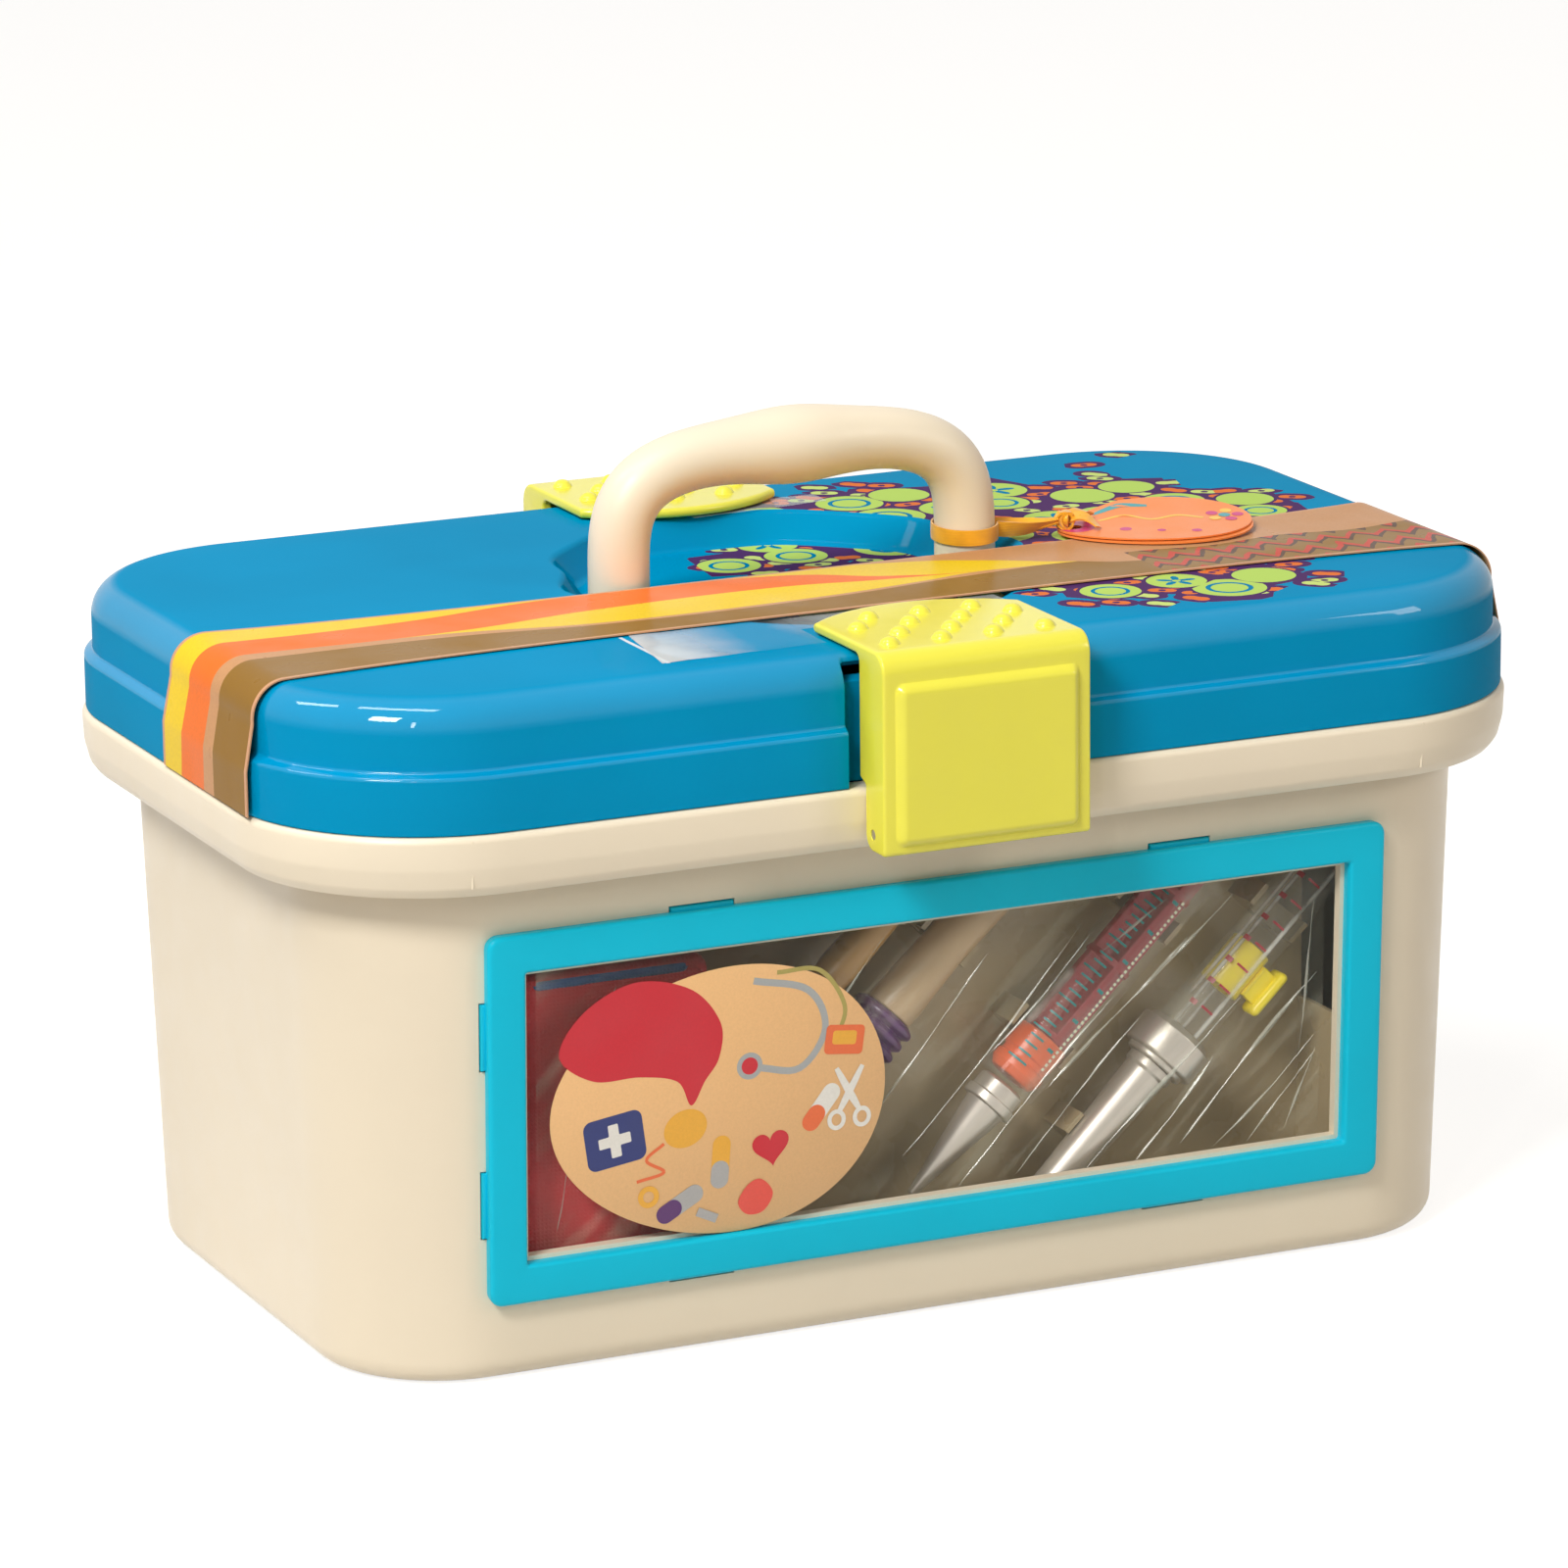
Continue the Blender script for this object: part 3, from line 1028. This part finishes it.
def band(paper):
    lines = band_line(0.68), band_line(0.34)
    share = walked(lines[0])
    share = share / share[-1]
    across = linspace(-1, 1, 15)
    shape, u, v, sides = Shape(), [], [], []
    for line in lines:
        rows = [[(x, BAND_Y + band_half(x) * k, z) for k in across] for x, z in line]
        u += list(np.repeat(share, len(across)))
        v += [(k + 1) / 2 for k in across] * len(share)
        shape.grid(rows)
        sides.append(rows)
    for j, edge in ((0, 0.0), (-1, 1.0)):
        shape.grid([[a[j], b[j]] for a, b in zip(*sides)])
        u += list(np.repeat(share, 2))
        v += [edge] * 2 * len(share)
    for i, end in ((0, 0.0), (-1, 1.0)):
        shape.grid([sides[0][i], sides[1][i]])
        u += [end] * 2 * len(across)
        v += [(k + 1) / 2 for k in across] * 2
    shape.build("belly_band_sheet", "lid", [paper], "band_paper", ["belly_band"], sharp=50, weld=0.0002,
                attrs={"u": u, "v": v})


def strap(shape, centre, width_dir, width, thick):
    """A flat strap along a line of points. width_dir gives the direction across it at each point."""
    c, w = np.array(centre, float), unit(np.array(width_dir, float))
    n = unit(np.cross(unit(np.gradient(c, axis=0)), w))
    half = np.broadcast_to(np.asarray(width, float) / 2, (len(c),))[:, None]
    prof = [(-1, 0.5), (-0.55, 0.62), (0, 0.66), (0.55, 0.62), (1, 0.5),
            (1, -0.5), (0.55, -0.38), (0, -0.34), (-0.55, -0.38), (-1, -0.5)]
    rows = [[c[i] + w[i] * half[i] * a + n[i] * thick * b for a, b in prof] for i in range(len(c))]
    shape.grid(rows, wrap_v=True)
    shape.cap(rows[0], rows[-1])


def ribbon(cloth):
    """A satin ribbon round the handle's right leg, run to a small knot with two short ends."""
    shape, width, thick = Shape(), 3.9, 0.42
    r, z = LEG_R + 0.62, 172.0
    a = linspace(0.12, 2 * pi - 0.35, 60)
    strap(shape, [(SPAN + r * cos(t), r * sin(t), z + 0.5 * sin(t)) for t in a], [(0, 0, 1)] * len(a), width, thick)
    start = SPAN + 7.6
    for dy, sag, twist in ((0.9, 0.5, 0.5), (-1.3, 0.9, -0.4)):
        t = linspace(0, 1, 26)
        line = [(start + (KNOT[0] - 2.2 - SPAN - 7.6) * k, (1 - k) * dy * 2.2 + k * KNOT[1],
                 z + k * (KNOT[2] - z) - sag * 4 * k * (1 - k)) for k in t]
        across = [(0, sin(twist * 2.4 * k), cos(twist * 2.4 * k)) for k in t]
        strap(shape, line, across, width - 1.5 * t ** 3, thick)
    # The knot: three crossed turns of the ribbon
    for k, (tilt, size) in enumerate(((0.25, 2.1), (1.25, 1.9), (-0.75, 1.75))):
        line, across = [], []
        for t in linspace(0, 2 * pi, 29):
            p = Vector((size * cos(t) * 0.95, 0.25 * sin(2 * t), size * sin(t)))
            p.rotate(Matrix.Rotation(tilt, 3, "Y"))
            q = Vector((0, 1, 0.15 * cos(t)))
            for v in (p, q):
                v.rotate(Matrix.Rotation(0.5 * k - 0.4, 3, "Z"))
            line.append(Vector(KNOT) + p)
            across.append(q)
        strap(shape, line, across, 3.3, 0.55)
    for dx, dy, dz, lift in ((8.5, 5.0, -0.6, 1.6), (5.0, -6.5, -1.2, 1.8)):
        t = linspace(0, 1, 16)
        line = [(KNOT[0] + 1.0 + dx * k, KNOT[1] + dy * k, KNOT[2] + dz * k + lift * sin(pi * k)) for k in t]
        strap(shape, line, [(-dy * 0.5, dx * 0.5, 3 * cos(2 * k)) for k in t], 3.6 * (1 - 0.25 * t), 0.4)
    shape.build("tag_ribbon_tied", "lid", [cloth], "ribbon_satin", ["tag_ribbon"], sharp=60, weld=0.0005)


def tag(name, node, turn, low, card, inks):
    """An egg of card hung from its narrow end. Its rear edge leans up."""
    c, s = cos(radians(turn)), sin(radians(turn))

    def place(a, b, out):
        lean = 0.0026 * (b + TAG_SIZE[1]) ** 2 * max(0, min(1, (a + 2) / 16))
        curl = 0.0006 * (a - 20) ** 2 * (a > 20)
        return (TAG_AT[0] + a * c - b * s, TAG_AT[1] + a * s + b * c, low + out + lean + curl)

    shape, faces = Shape(), (0.0, CARD_T)
    outline = oval(TAG_SIZE[0] - 4.0, 0, *TAG_SIZE, count=80, egg=0.1)
    hole = oval(0, 0, 2.0, 2.0, count=80)
    for o in faces:
        shape.grid([[place(a, b, o) for a, b in outline * (1 - k) + hole * k] for k in linspace(0, 1, 12)],
                   wrap_v=True)
    for loop in (outline, hole):
        shape.grid([[place(a, b, o) for a, b in loop] for o in faces], wrap_v=True)
    draw = Print(shape, place, CARD_T, 0.006, ["card", *inks])
    if inks:
        draw(oval(0.6, 0, 4.6, 5.4, count=48), "magenta", hole)
        draw(stroke([(6.5, 9.2), (14, 12.6), (21, 11.6)], 2.6, taper=0.5), "teal")
        draw(stroke([(7, 3.5), (14, 5.4), (20, 1.5), (27, 3.6), (33, 0.6)], 1.1), "yellow")
        for a, b, r in ((12, -5.5, 1.5), (20.5, -8.2, 1.1), (29, -10, 1.3)):
            draw(oval(a, b, r, r, count=24), "magenta")
        for k, t in enumerate(circle(5)):
            draw(oval(38.5 + 3.4 * cos(t), 1.5 + 3.4 * sin(t), 1.5, 1.5, count=20), "yellow" if k % 2 else "magenta")
        draw(oval(38.5, 1.5, 1.5, 1.5, count=24), "teal")
    shape.build(name, "lid", [card, *inks.values()], "tag_card", [node], sharp=30, weld=0.0003)


def tape(film):
    """Clear tape that holds the latches shut for transport."""
    shape = Shape()
    for corners in (((-70, -80), (-27.5, -78.5), (-27.5, -52), (-66, -51)),
                    ((-27.4, -63.5), (29, -62.5), (29, -51.5), (-27.4, -52)),
                    ((-69, -80.5), (-68, -80.4), (-68, -52), (-69, -52)),
                    ((0, 59), (38, 62), (38, 71), (-4, 70))):
        p = [np.array(c, float) for c in corners]
        rows = []
        for i in linspace(0, 1, 20):
            a, b = p[0] * (1 - i) + p[1] * i, p[3] * (1 - i) + p[2] * i
            rows.append([(*(a * (1 - j) + b * j), LID_TOP + 0.06 + 0.10 * sin(9 * i + 4 * j) ** 2)
                         for j in linspace(0, 1, 12)])
        shape.grid(rows)
    shape.build("clear_tape", "lid", [film], "clear_plastic", sharp=60)


# ---------------------------------------------------------------- instruments

def turned_piece(name, at, profile, look, slot, node, body="tub", sides=56):
    shape = Shape()
    shape.grid(turned(rounded(profile, step=15), partial(lay, at), sides), wrap_u=True)
    shape.build(name, body, [look], slot, [node], sharp=34, weld=0.003)


def round_block(shape, place, lo, hi, r):
    """A block with rounded edges between two corners of a local frame."""
    edge = [(lo[2] + r * (1 - sin(k)), r * (1 - cos(k))) for k in linspace(0, pi / 2, 5)][::-1]
    rows = edge + [(hi[2] - (z - lo[2]), i) for z, i in edge[::-1]]
    out = []
    for z, i in rows:
        x0, y0, x1, y1 = lo[0] + i, lo[1] + i, hi[0] - i, hi[1] - i
        loop = rounded([(x0, y0, r), (x1, y0, r), (x1, y1, r), (x0, y1, r)], closed=True, step=22)
        out.append([place(x, y, z) for x, y in loop])
    n = min(len(row) for row in out)
    out = [row[:n] for row in out]
    shape.grid(out, wrap_v=True)
    shape.cap(out[0], out[-1])


def graduation(name, at, radius, marks, ink):
    """Printed strokes on a round tube: (angle in degrees, along, reach in degrees, length along)."""
    shape = Shape()
    for angle, along, reach, size in marks:
        a = np.radians(linspace(angle - reach / 2, angle + reach / 2, max(3, int(abs(reach) / 6) + 2)))
        ends = (along - size / 2, along + size / 2)
        shape.grid([[lay(at, radius * cos(t), radius * sin(t), z) for z in ends] for t in a])
    shape.build(name, "tub", [ink], "clear_plastic", sharp=60, weld=0.0003)


def syringe(silver, glassy, orange, maroon, teal, white):
    at, place = SYRINGE, partial(lay, SYRINGE)
    turned_piece("syringe_tip", at, [
        (0.02, 0, 0), (1.0, 0, 0.4), (5.4, 28, 0.3), (6.7, 28, 0.5), (6.7, 30.6, 0.5), (6.1, 30.6, 0.3),
        (6.1, 34.2, 0.4), (5.2, 34.9, 0.2), (0.02, 34.9, 0)], silver, "silver_plastic", "syringe_nozzle")
    turned_piece("syringe_tube", at, [
        (10.9, 104.9, 0), (10.9, 103, 0.7), (8.3, 103, 0.8), (8.3, 35.1, 1.0), (0.02, 35.1, 0)], glassy,
        "clear_plastic", "syringe_barrel", sides=72)
    turned_piece("syringe_seal", at, [
        (0.02, 37.1, 0), (5.6, 37.1, 1.2), (6.9, 39.2, 0.5), (6.9, 41.4, 0.4), (6.3, 41.8, 0.3), (6.3, 43.2, 0.3),
        (6.9, 43.6, 0.4), (6.9, 49.9, 0.5), (0.02, 49.9, 0)], orange, "orange_plastic", "syringe_piston", "plunger")
    shape = Shape()
    shape.grid([[place(x, y, z) for x, y in plus(6.2, 1.2, 0.5)] for z in linspace(50.0, 128.2, 14)], wrap_v=True)
    for z in (51.0, 74.0, 97.0):
        disc = rounded([(0.3, z - 0.9, 0), (6.3, z - 0.9, 0.4), (6.3, z + 0.9, 0.4), (0.3, z + 0.9, 0)], step=30)
        shape.grid(turned(disc, place, 40), wrap_u=True)
    plate = rounded([(0.02, 128, 0), (9.2, 128, 0.9), (9.2, 130.3, 0.9), (0.02, 129.9, 0)], step=20)
    shape.grid(turned(plate, place, 56), wrap_u=True)
    shape.build("syringe_push_rod", "plunger", [maroon], "maroon_plastic", ["syringe_plunger"], sharp=36)
    ruled, ink_r = [(-128 if k % 4 else -131, 41 + 2.35 * k, 26 if k % 4 else 38, 0.55) for k in range(24)], 8.36
    graduation("syringe_scale", at, ink_r, ruled, teal)
    graduation("syringe_dots", at, ink_r, [(-84, 43 + 1.35 * k, 5.5, 0.75) for k in range(40)], white)
    graduation("syringe_bars", at, ink_r, [(-96, 47.5 + 9.4 * k, 12, 0.9) for k in range(6)], teal)


def thermometer(silver, glassy, brown, yellow, red):
    at, place = THERMOMETER, partial(lay, THERMOMETER)
    turned_piece("thermometer_stem", at, [
        (0.02, -4.2, 0), (1.6, -3.9, 0.8), (3.2, -2.7, 1.0), (4.2, -0.2, 2.0), (5.6, 45.6, 0.3), (6.3, 46.4, 0.4),
        (6.3, 48.4, 0.2), (0.02, 48.4, 0)], silver, "silver_plastic", "thermometer_rod")
    turned_piece("thermometer_rings", at, [
        (0.5, 48.55, 0), (7.9, 48.55, 0.6), (7.9, 50, 0.3), (9.9, 50, 0.9), (9.9, 58, 0.6), (9.0, 58.05, 0.3),
        (7.9, 59.4, 0.4), (5.8, 59.4, 0.2), (5.8, 57.5, 0)], silver, "silver_plastic", "thermometer_collar")
    turned_piece("thermometer_bore", at, [(6.8, 129.9, 0), (6.8, 59.6, 0.3), (5.4, 59.6, 0)], glassy,
                 "clear_plastic", "thermometer_tube", sides=72)
    turned_piece("thermometer_end", at, [
        (0.02, 130.1, 0), (7.35, 130.1, 0.6), (7.35, 134.4, 1.4), (0.02, 135, 0)], brown, "brown_plastic",
        "thermometer_cap")
    shape, z0, z1 = Shape(), 73.5, 86.5
    ring = rounded([(3.5, z0, 0.4), (5.4, z0, 0.4), (5.4, z1, 0.4), (3.5, z1, 0.4)], closed=True, step=30)
    shape.grid(turned(ring, place), wrap_u=True, wrap_v=True)
    round_block(shape, place, (3.8, -5.1, z0 + 2.1), (9.0, -2.6, z1 - 2.1), 0.4)
    round_block(shape, place, (7.75, -7.0, z0), (10.3, -0.65, z1), 1.25)
    shape.build("thermometer_slider", "marker", [yellow], "yellow_plastic", ["thermometer_marker"], sharp=40)
    marks = [(angle, start + 6.8 * k, reach, size)
             for angle, start, reach, size in ((-106, 66.5, 30, 0.6), (-140, 66.2, 16, 1.3)) for k in range(9)]
    graduation("thermometer_scale", at, 6.87, marks, red)


def otoscope(purple, beige):
    at, rib = OTOSCOPE, 3.4
    line = [(0.02, -8.3, 0), (5.8, -8.3, 0.6), (6.7, -0.2, 0.5)]
    for z in (rib * k for k in range(4)):
        line += [(6.9, z + 0.1, 0.2), (8.35, z + 1.1, 0.8), (8.35, z + 2.3, 0.8), (6.9, z + 3.3, 0.2)]
    line.append((0.02, 13.5, 0))
    shape = Shape()
    shape.grid(turned(rounded(line, step=20), partial(lay, at), 56), wrap_u=True)
    c, s = cos(radians(150)), sin(radians(150))
    ox, oz = at[0] - 8.4 * cos(TILT), at[1] - 8.4 * sin(TILT)
    cone = rounded([(0.02, 0, 0), (6.4, 0, 1.0), (5.2, 9, 0.3), (4.9, 9.3, 0.3), (4.4, 14, 0.9), (3.4, 14, 0.3),
                    (3.0, 9, 0), (0.02, 9, 0)], step=20)
    shape.grid(turned(cone, lambda x, y, a: (ox + x * c + a * s, INST_Y + y, oz - x * s + a * c)), wrap_u=True)
    shape.build("otoscope_ribbed_head", "tub", [purple], "purple_plastic", ["otoscope_head"], sharp=34)
    turned_piece("otoscope_grip", at, [
        (0.02, 13.65, 0), (6.2, 13.65, 0.5), (6.35, 17, 2), (5.7, 34, 18), (6.35, 52, 14), (6.35, 65, 2.2),
        (0.02, 66, 0)], beige, "tan_plastic", "otoscope_handle")


def mirror(yellow, gold, glass):
    at = MIRROR
    turned_piece("mirror_stem", at, [
        (0.02, 0.05, 0), (3.6, 0.05, 0.8), (3.9, 5, 2), (4.75, 14, 5), (4.0, 20, 4), (4.75, 27, 5), (4.4, 45, 8),
        (4.75, 61, 1.6), (0.02, 61.9, 0)], gold, "tan_plastic", "mirror_handle")
    facing = lambda x, y, a: lay(at, x, -a, -9 + y)
    shape, disc = Shape(), Shape()
    ring = [(6.6, 1.9, 0.4), (6.6, -1.0, 0.2), (0.05, -1.0, 0), (0.05, -1.9, 0), (8.9, -1.9, 0.8), (8.9, 1.9, 0.8)]
    shape.grid(turned(rounded(ring, closed=True, step=20), facing, 56), wrap_u=True, wrap_v=True)
    shape.build("mirror_rim", "tub", [yellow], "yellow_plastic", ["mirror_head"], sharp=34)
    pane = [(0.03, -0.75, 0), (6.3, -0.75, 0.2), (6.3, -0.45, 0.2), (0.03, -0.45, 0)]
    disc.grid(turned(rounded(pane, step=30), facing, 56), wrap_u=True)
    disc.build("mirror_glass", "tub", [glass], "silver_plastic", sharp=34)


def cuff(fabric, piping, patch):
    """A folded cuff: layers of padded cloth, bound with piping, wrapped flat."""
    x0, x1, z0, z1, y0, y1 = -107.6, -56.4, 10.2, 95.6, INST_Y - 7.8, INST_Y + 7.8
    mid = np.array([(x0 + x1) / 2, (z0 + z1) / 2])
    phase = np.random.default_rng(4).uniform(0, 6.28, 8)
    shape = Shape()
    for n, (a, b, inset) in enumerate(((y0, y0 + 5.0, 0.0), (y0 + 5.1, y0 + 10.3, 0.8), (y0 + 10.4, y1, 0.3))):
        left, right, foot, head = x0 + inset, x1 - inset, z0 + inset, z1 - inset * 2
        corners = rounded([(x0 + 2 + inset, foot, 5), (right, foot, 5), (right, head, 4), (left, head, 4)],
                          closed=True, step=15)
        # More points along the long sides
        loop = []
        for p, q in zip(corners, np.roll(corners, -1, axis=0)):
            m = max(1, int(np.linalg.norm(q - p) / 3))
            loop += [p + (q - p) * i / m for i in range(m)]
        loop = np.array(loop)
        rows = [(0.5 * (a + b) + 0.5 * (b - a) * sin(k), 1 - 0.06 * (1 - cos(k)))
                for k in linspace(-pi / 2, pi / 2, 9)]
        shape.grid([[(x, y, z) for x, z in mid + (loop - mid) * s] for y, s in rows], wrap_v=True)

        def puff(x, z, y, side):
            seam = 0.5 * exp(-((x - x0 - 17) / 2.2) ** 2)
            return y + side * (0.35 * sin(x * 0.16 + phase[n]) * sin(z * 0.11 + phase[n + 3]) - seam)

        end = (loop - mid) * rows[0][1] + mid
        for side, edge in ((-1, a + 0.4), (1, b - 0.4)):
            rings = []
            for s in linspace(1, 0.02, 12):
                y = edge + side * 0.35 * (1 - s ** 6)
                rings.append([(x, puff(x, z, y, side if s < 0.93 else 0), z) for x, z in mid + (end - mid) * s])
            shape.grid(rings, wrap_v=True)
    ob = shape.build("cuff_folded", "tub", [fabric], "cuff_fabric", ["folded_cuff"], sharp=70, weld=0.004)
    for name, look, lo, hi, r in (
            ("cuff_piping", piping, (x0 + 6, y0 - 0.1, z1 - 4.4), (x1 - 5, y0 + 4.8, z1 - 0.9), 1.6),
            ("cuff_patch", patch, (x1 - 22, y0 - 0.15, z1 - 17), (x1 - 6, y0 + 1.2, z1 - 6.5), 0.5)):
        block = Shape()
        round_block(block, lambda x, y, z: (x, y, z), lo, hi, r)
        block.build(name, "tub", [look], "cuff_fabric", sharp=50)


def film(clear_film, fold_film):
    """Wrinkled clear film over the instruments, with its sharp folds."""
    rng = np.random.default_rng(11)
    x0, x1, z0, z1 = -103.0, 104.5, 27.0, 102.0
    limits = (0.05, 0.22), (0.6, 1.1), (0, 6.28), (0.08, 0.2)
    waves = [[rng.uniform(*ends) for ends in limits] for _ in range(9)]

    def depth(x, z):
        y = -78.4 - (FOOT_IN - WALL_IN) / (SEAM - WALL - FOOT_R) * (z - FRAME_MID)
        for freq, ang, ph, amp in waves:
            y += amp * sin(freq * (x * sin(ang) - z * cos(ang)) + ph + 0.6 * sin(z * 0.06 + ph))
        return y

    shape = Shape()
    shape.grid([[(x, depth(x, z), z) for z in linspace(z0, z1, 52)] for x in linspace(x0, x1, 130)])
    shape.build("bag_film", "tub", [clear_film], "clear_plastic", sharp=80)
    folds = Shape()
    for x, z, ang, length, width in (
            (6, 30, 0.80, 62, 1.0), (22, 31, 0.82, 50, 0.8), (40, 29, 0.78, 60, 1.3), (53, 29, 0.9, 34, 1.2),
            (66, 33, 0.80, 66, 1.5), (74, 30, 0.74, 40, 0.9), (84, 30, 0.86, 44, 0.8), (95, 32, 1.2, 52, 0.9),
            (-20, 48, 0.84, 54, 0.9), (-8, 40, 0.8, 74, 0.8), (30, 52, 0.8, 52, 1.6), (14, 62, 0.78, 40, 0.8),
            (98, 52, 1.45, 40, 0.8), (58, 76, 0.72, 30, 1.0), (-30, 74, 0.9, 28, 0.8), (-94, 70, 1.1, 26, 0.7),
            (-98, 34, 1.4, 40, 0.6), (44, 84, 0.5, 22, 0.8)):
        bend, ph = rng.uniform(-0.10, 0.10), rng.uniform(0, 6.28)
        n = 26
        p, pts = np.array([x, z], float), []
        for i in range(n):
            pts.append(p.copy())
            t = ang + bend * sin(3.1 * i / n + ph) + rng.uniform(-0.05, 0.05)
            p += length / n * np.array([cos(t), sin(t)])
        pts = np.array([q for q in pts if x0 + 1 < q[0] < x1 - 1 and z0 + 1 < q[1] < z1 - 1])
        if len(pts) < 5:
            continue
        t = unit(np.gradient(pts, axis=0))
        side = np.stack([-t[:, 1], t[:, 0]], axis=1)
        k = linspace(0, 1, len(pts))
        w = width * np.sin(pi * k) ** 0.6 * (0.6 + 0.4 * np.sin(9 * k + ph)) + 0.04
        rows = []
        for q, across, wide in zip(pts, side, w):
            row = []
            for off, up in ((-0.5, 0.02), (-0.12, 0.42), (0.1, 0.5), (0.5, 0.05)):
                a = q + across * wide * off
                row.append((a[0], depth(*a) - 0.08 - up * min(wide, 0.9), a[1]))
            rows.append(row)
        folds.grid(rows)
    folds.build("bag_folds", "tub", [fold_film], "clear_plastic", sharp=35, weld=0.0003)


# ---------------------------------------------------------------- build

camera()
studio()
cream = moulded("cream_plastic", CREAM, 0.38, 0.02)
lime = moulded("lime_plastic", LIME, 0.2, 0.03)
turquoise = moulded("turquoise_plastic", TURQUOISE, 0.34, 0.03, Specular_IOR_Level=0.15)
silver = metallised("silver_plastic", srgb(196, 188, 176), 0.34, 0.55)
steel = metallised("steel", srgb(196, 194, 190), 0.3, 1.0)
orange, maroon, purple, beige, gold, yellow, brown = (
    moulded(name + "_plastic", srgb(*rgb), rough) for name, rgb, rough in (
        ("orange", (250, 104, 40), 0.3), ("maroon", (176, 26, 48), 0.25), ("purple", (92, 44, 106), 0.3),
        ("tan", (206, 178, 140), 0.35), ("gold", (196, 150, 84), 0.3), ("yellow", (250, 228, 44), 0.3),
        ("brown", (74, 46, 32), 0.3)))
teal_ink, white_ink, red_ink = prints("%s_ink", teal=(24, 140, 140), white=(236, 240, 214), red=(176, 34, 52)).values()
tube_white, tube_rough = srgb(226, 226, 218), (0.05, 0.12)
syringe_glass = clear("syringe_glass", tube_white, partial(tube_haze, SYRINGE, (
    (-160, 16, 0.9, 48, 68), (-84, 6, 0.5, 40, 100))), *tube_rough)
thermometer_glass = clear("thermometer_glass", tube_white, partial(tube_haze, THERMOMETER, (
    (-87, 10, 1.0, 56, 130), (-144, 8, 1.0, 56, 130), (-159, 9, 1.0, 66, 130), (-122, 8, 0.6, 56, 74))), *tube_rough)
label_inks = prints("label_%s", red=(206, 30, 46), grey=(170, 172, 172), olive=(172, 158, 84), navy=(34, 46, 110),
                    white=(236, 232, 224), yellow=(240, 176, 60), orange=(236, 112, 62), silver=(176, 174, 172),
                    purple=(88, 44, 104), coral=(232, 84, 70))
tag_inks = prints("tag_%s", magenta=(206, 42, 122), teal=(60, 160, 168), yellow=(246, 196, 66))
card = printed("tag_card", srgb(245, 140, 66))
tub(cream)
lid(lid_look())
handle(cream)
latch("front_latch_moulding", "front_latch", -1, lime)
latch("rear_latch_moulding", "rear_latch", 1, lime)
window(turquoise, clear("clear_glazing", srgb(235, 240, 232), 0.03, 0.03, 0.09))
label(printed("label_paper", srgb(240, 190, 132)), label_inks)
band(band_look())
ribbon(satin("ribbon_satin", srgb(250, 176, 32)))
tag("hang_tag_top", "hang_tag_upper", -15, 169.7, card, tag_inks)
tag("hang_tag_under", "hang_tag_lower", -19, 169.0, card, {})
tape(clear("clear_tape", srgb(228, 238, 242), tape_haze, 0.05, 0.14))
syringe(silver, syringe_glass, orange, maroon, teal_ink, white_ink)
thermometer(silver, thermometer_glass, brown, yellow, red_ink)
otoscope(purple, beige)
mirror(yellow, gold, silver)
cuff(*(woven("cuff_" + key, srgb(*rgb)) for key, rgb in (
    ("fabric", (196, 30, 42)), ("piping", (30, 90, 150)), ("patch", (222, 176, 40)))))
film(streaked("bag_film", srgb(226, 222, 196), 0.04, 0.34),
     clear("bag_folds", srgb(240, 242, 226), 0.36, 0.072, 0.216))
tray_look = clear("clear_tray", srgb(192, 174, 138), 0.86, 0.15, 0.45)
for node, look in (("display_tray", tray_look), ("front_latch_pin", steel), ("rear_latch_pin", steel),
                   ("handle_screws", steel)):
    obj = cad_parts[node]
    obj.data.materials.clear()
    obj.data.materials.append(look)
    smooth(obj, 40)
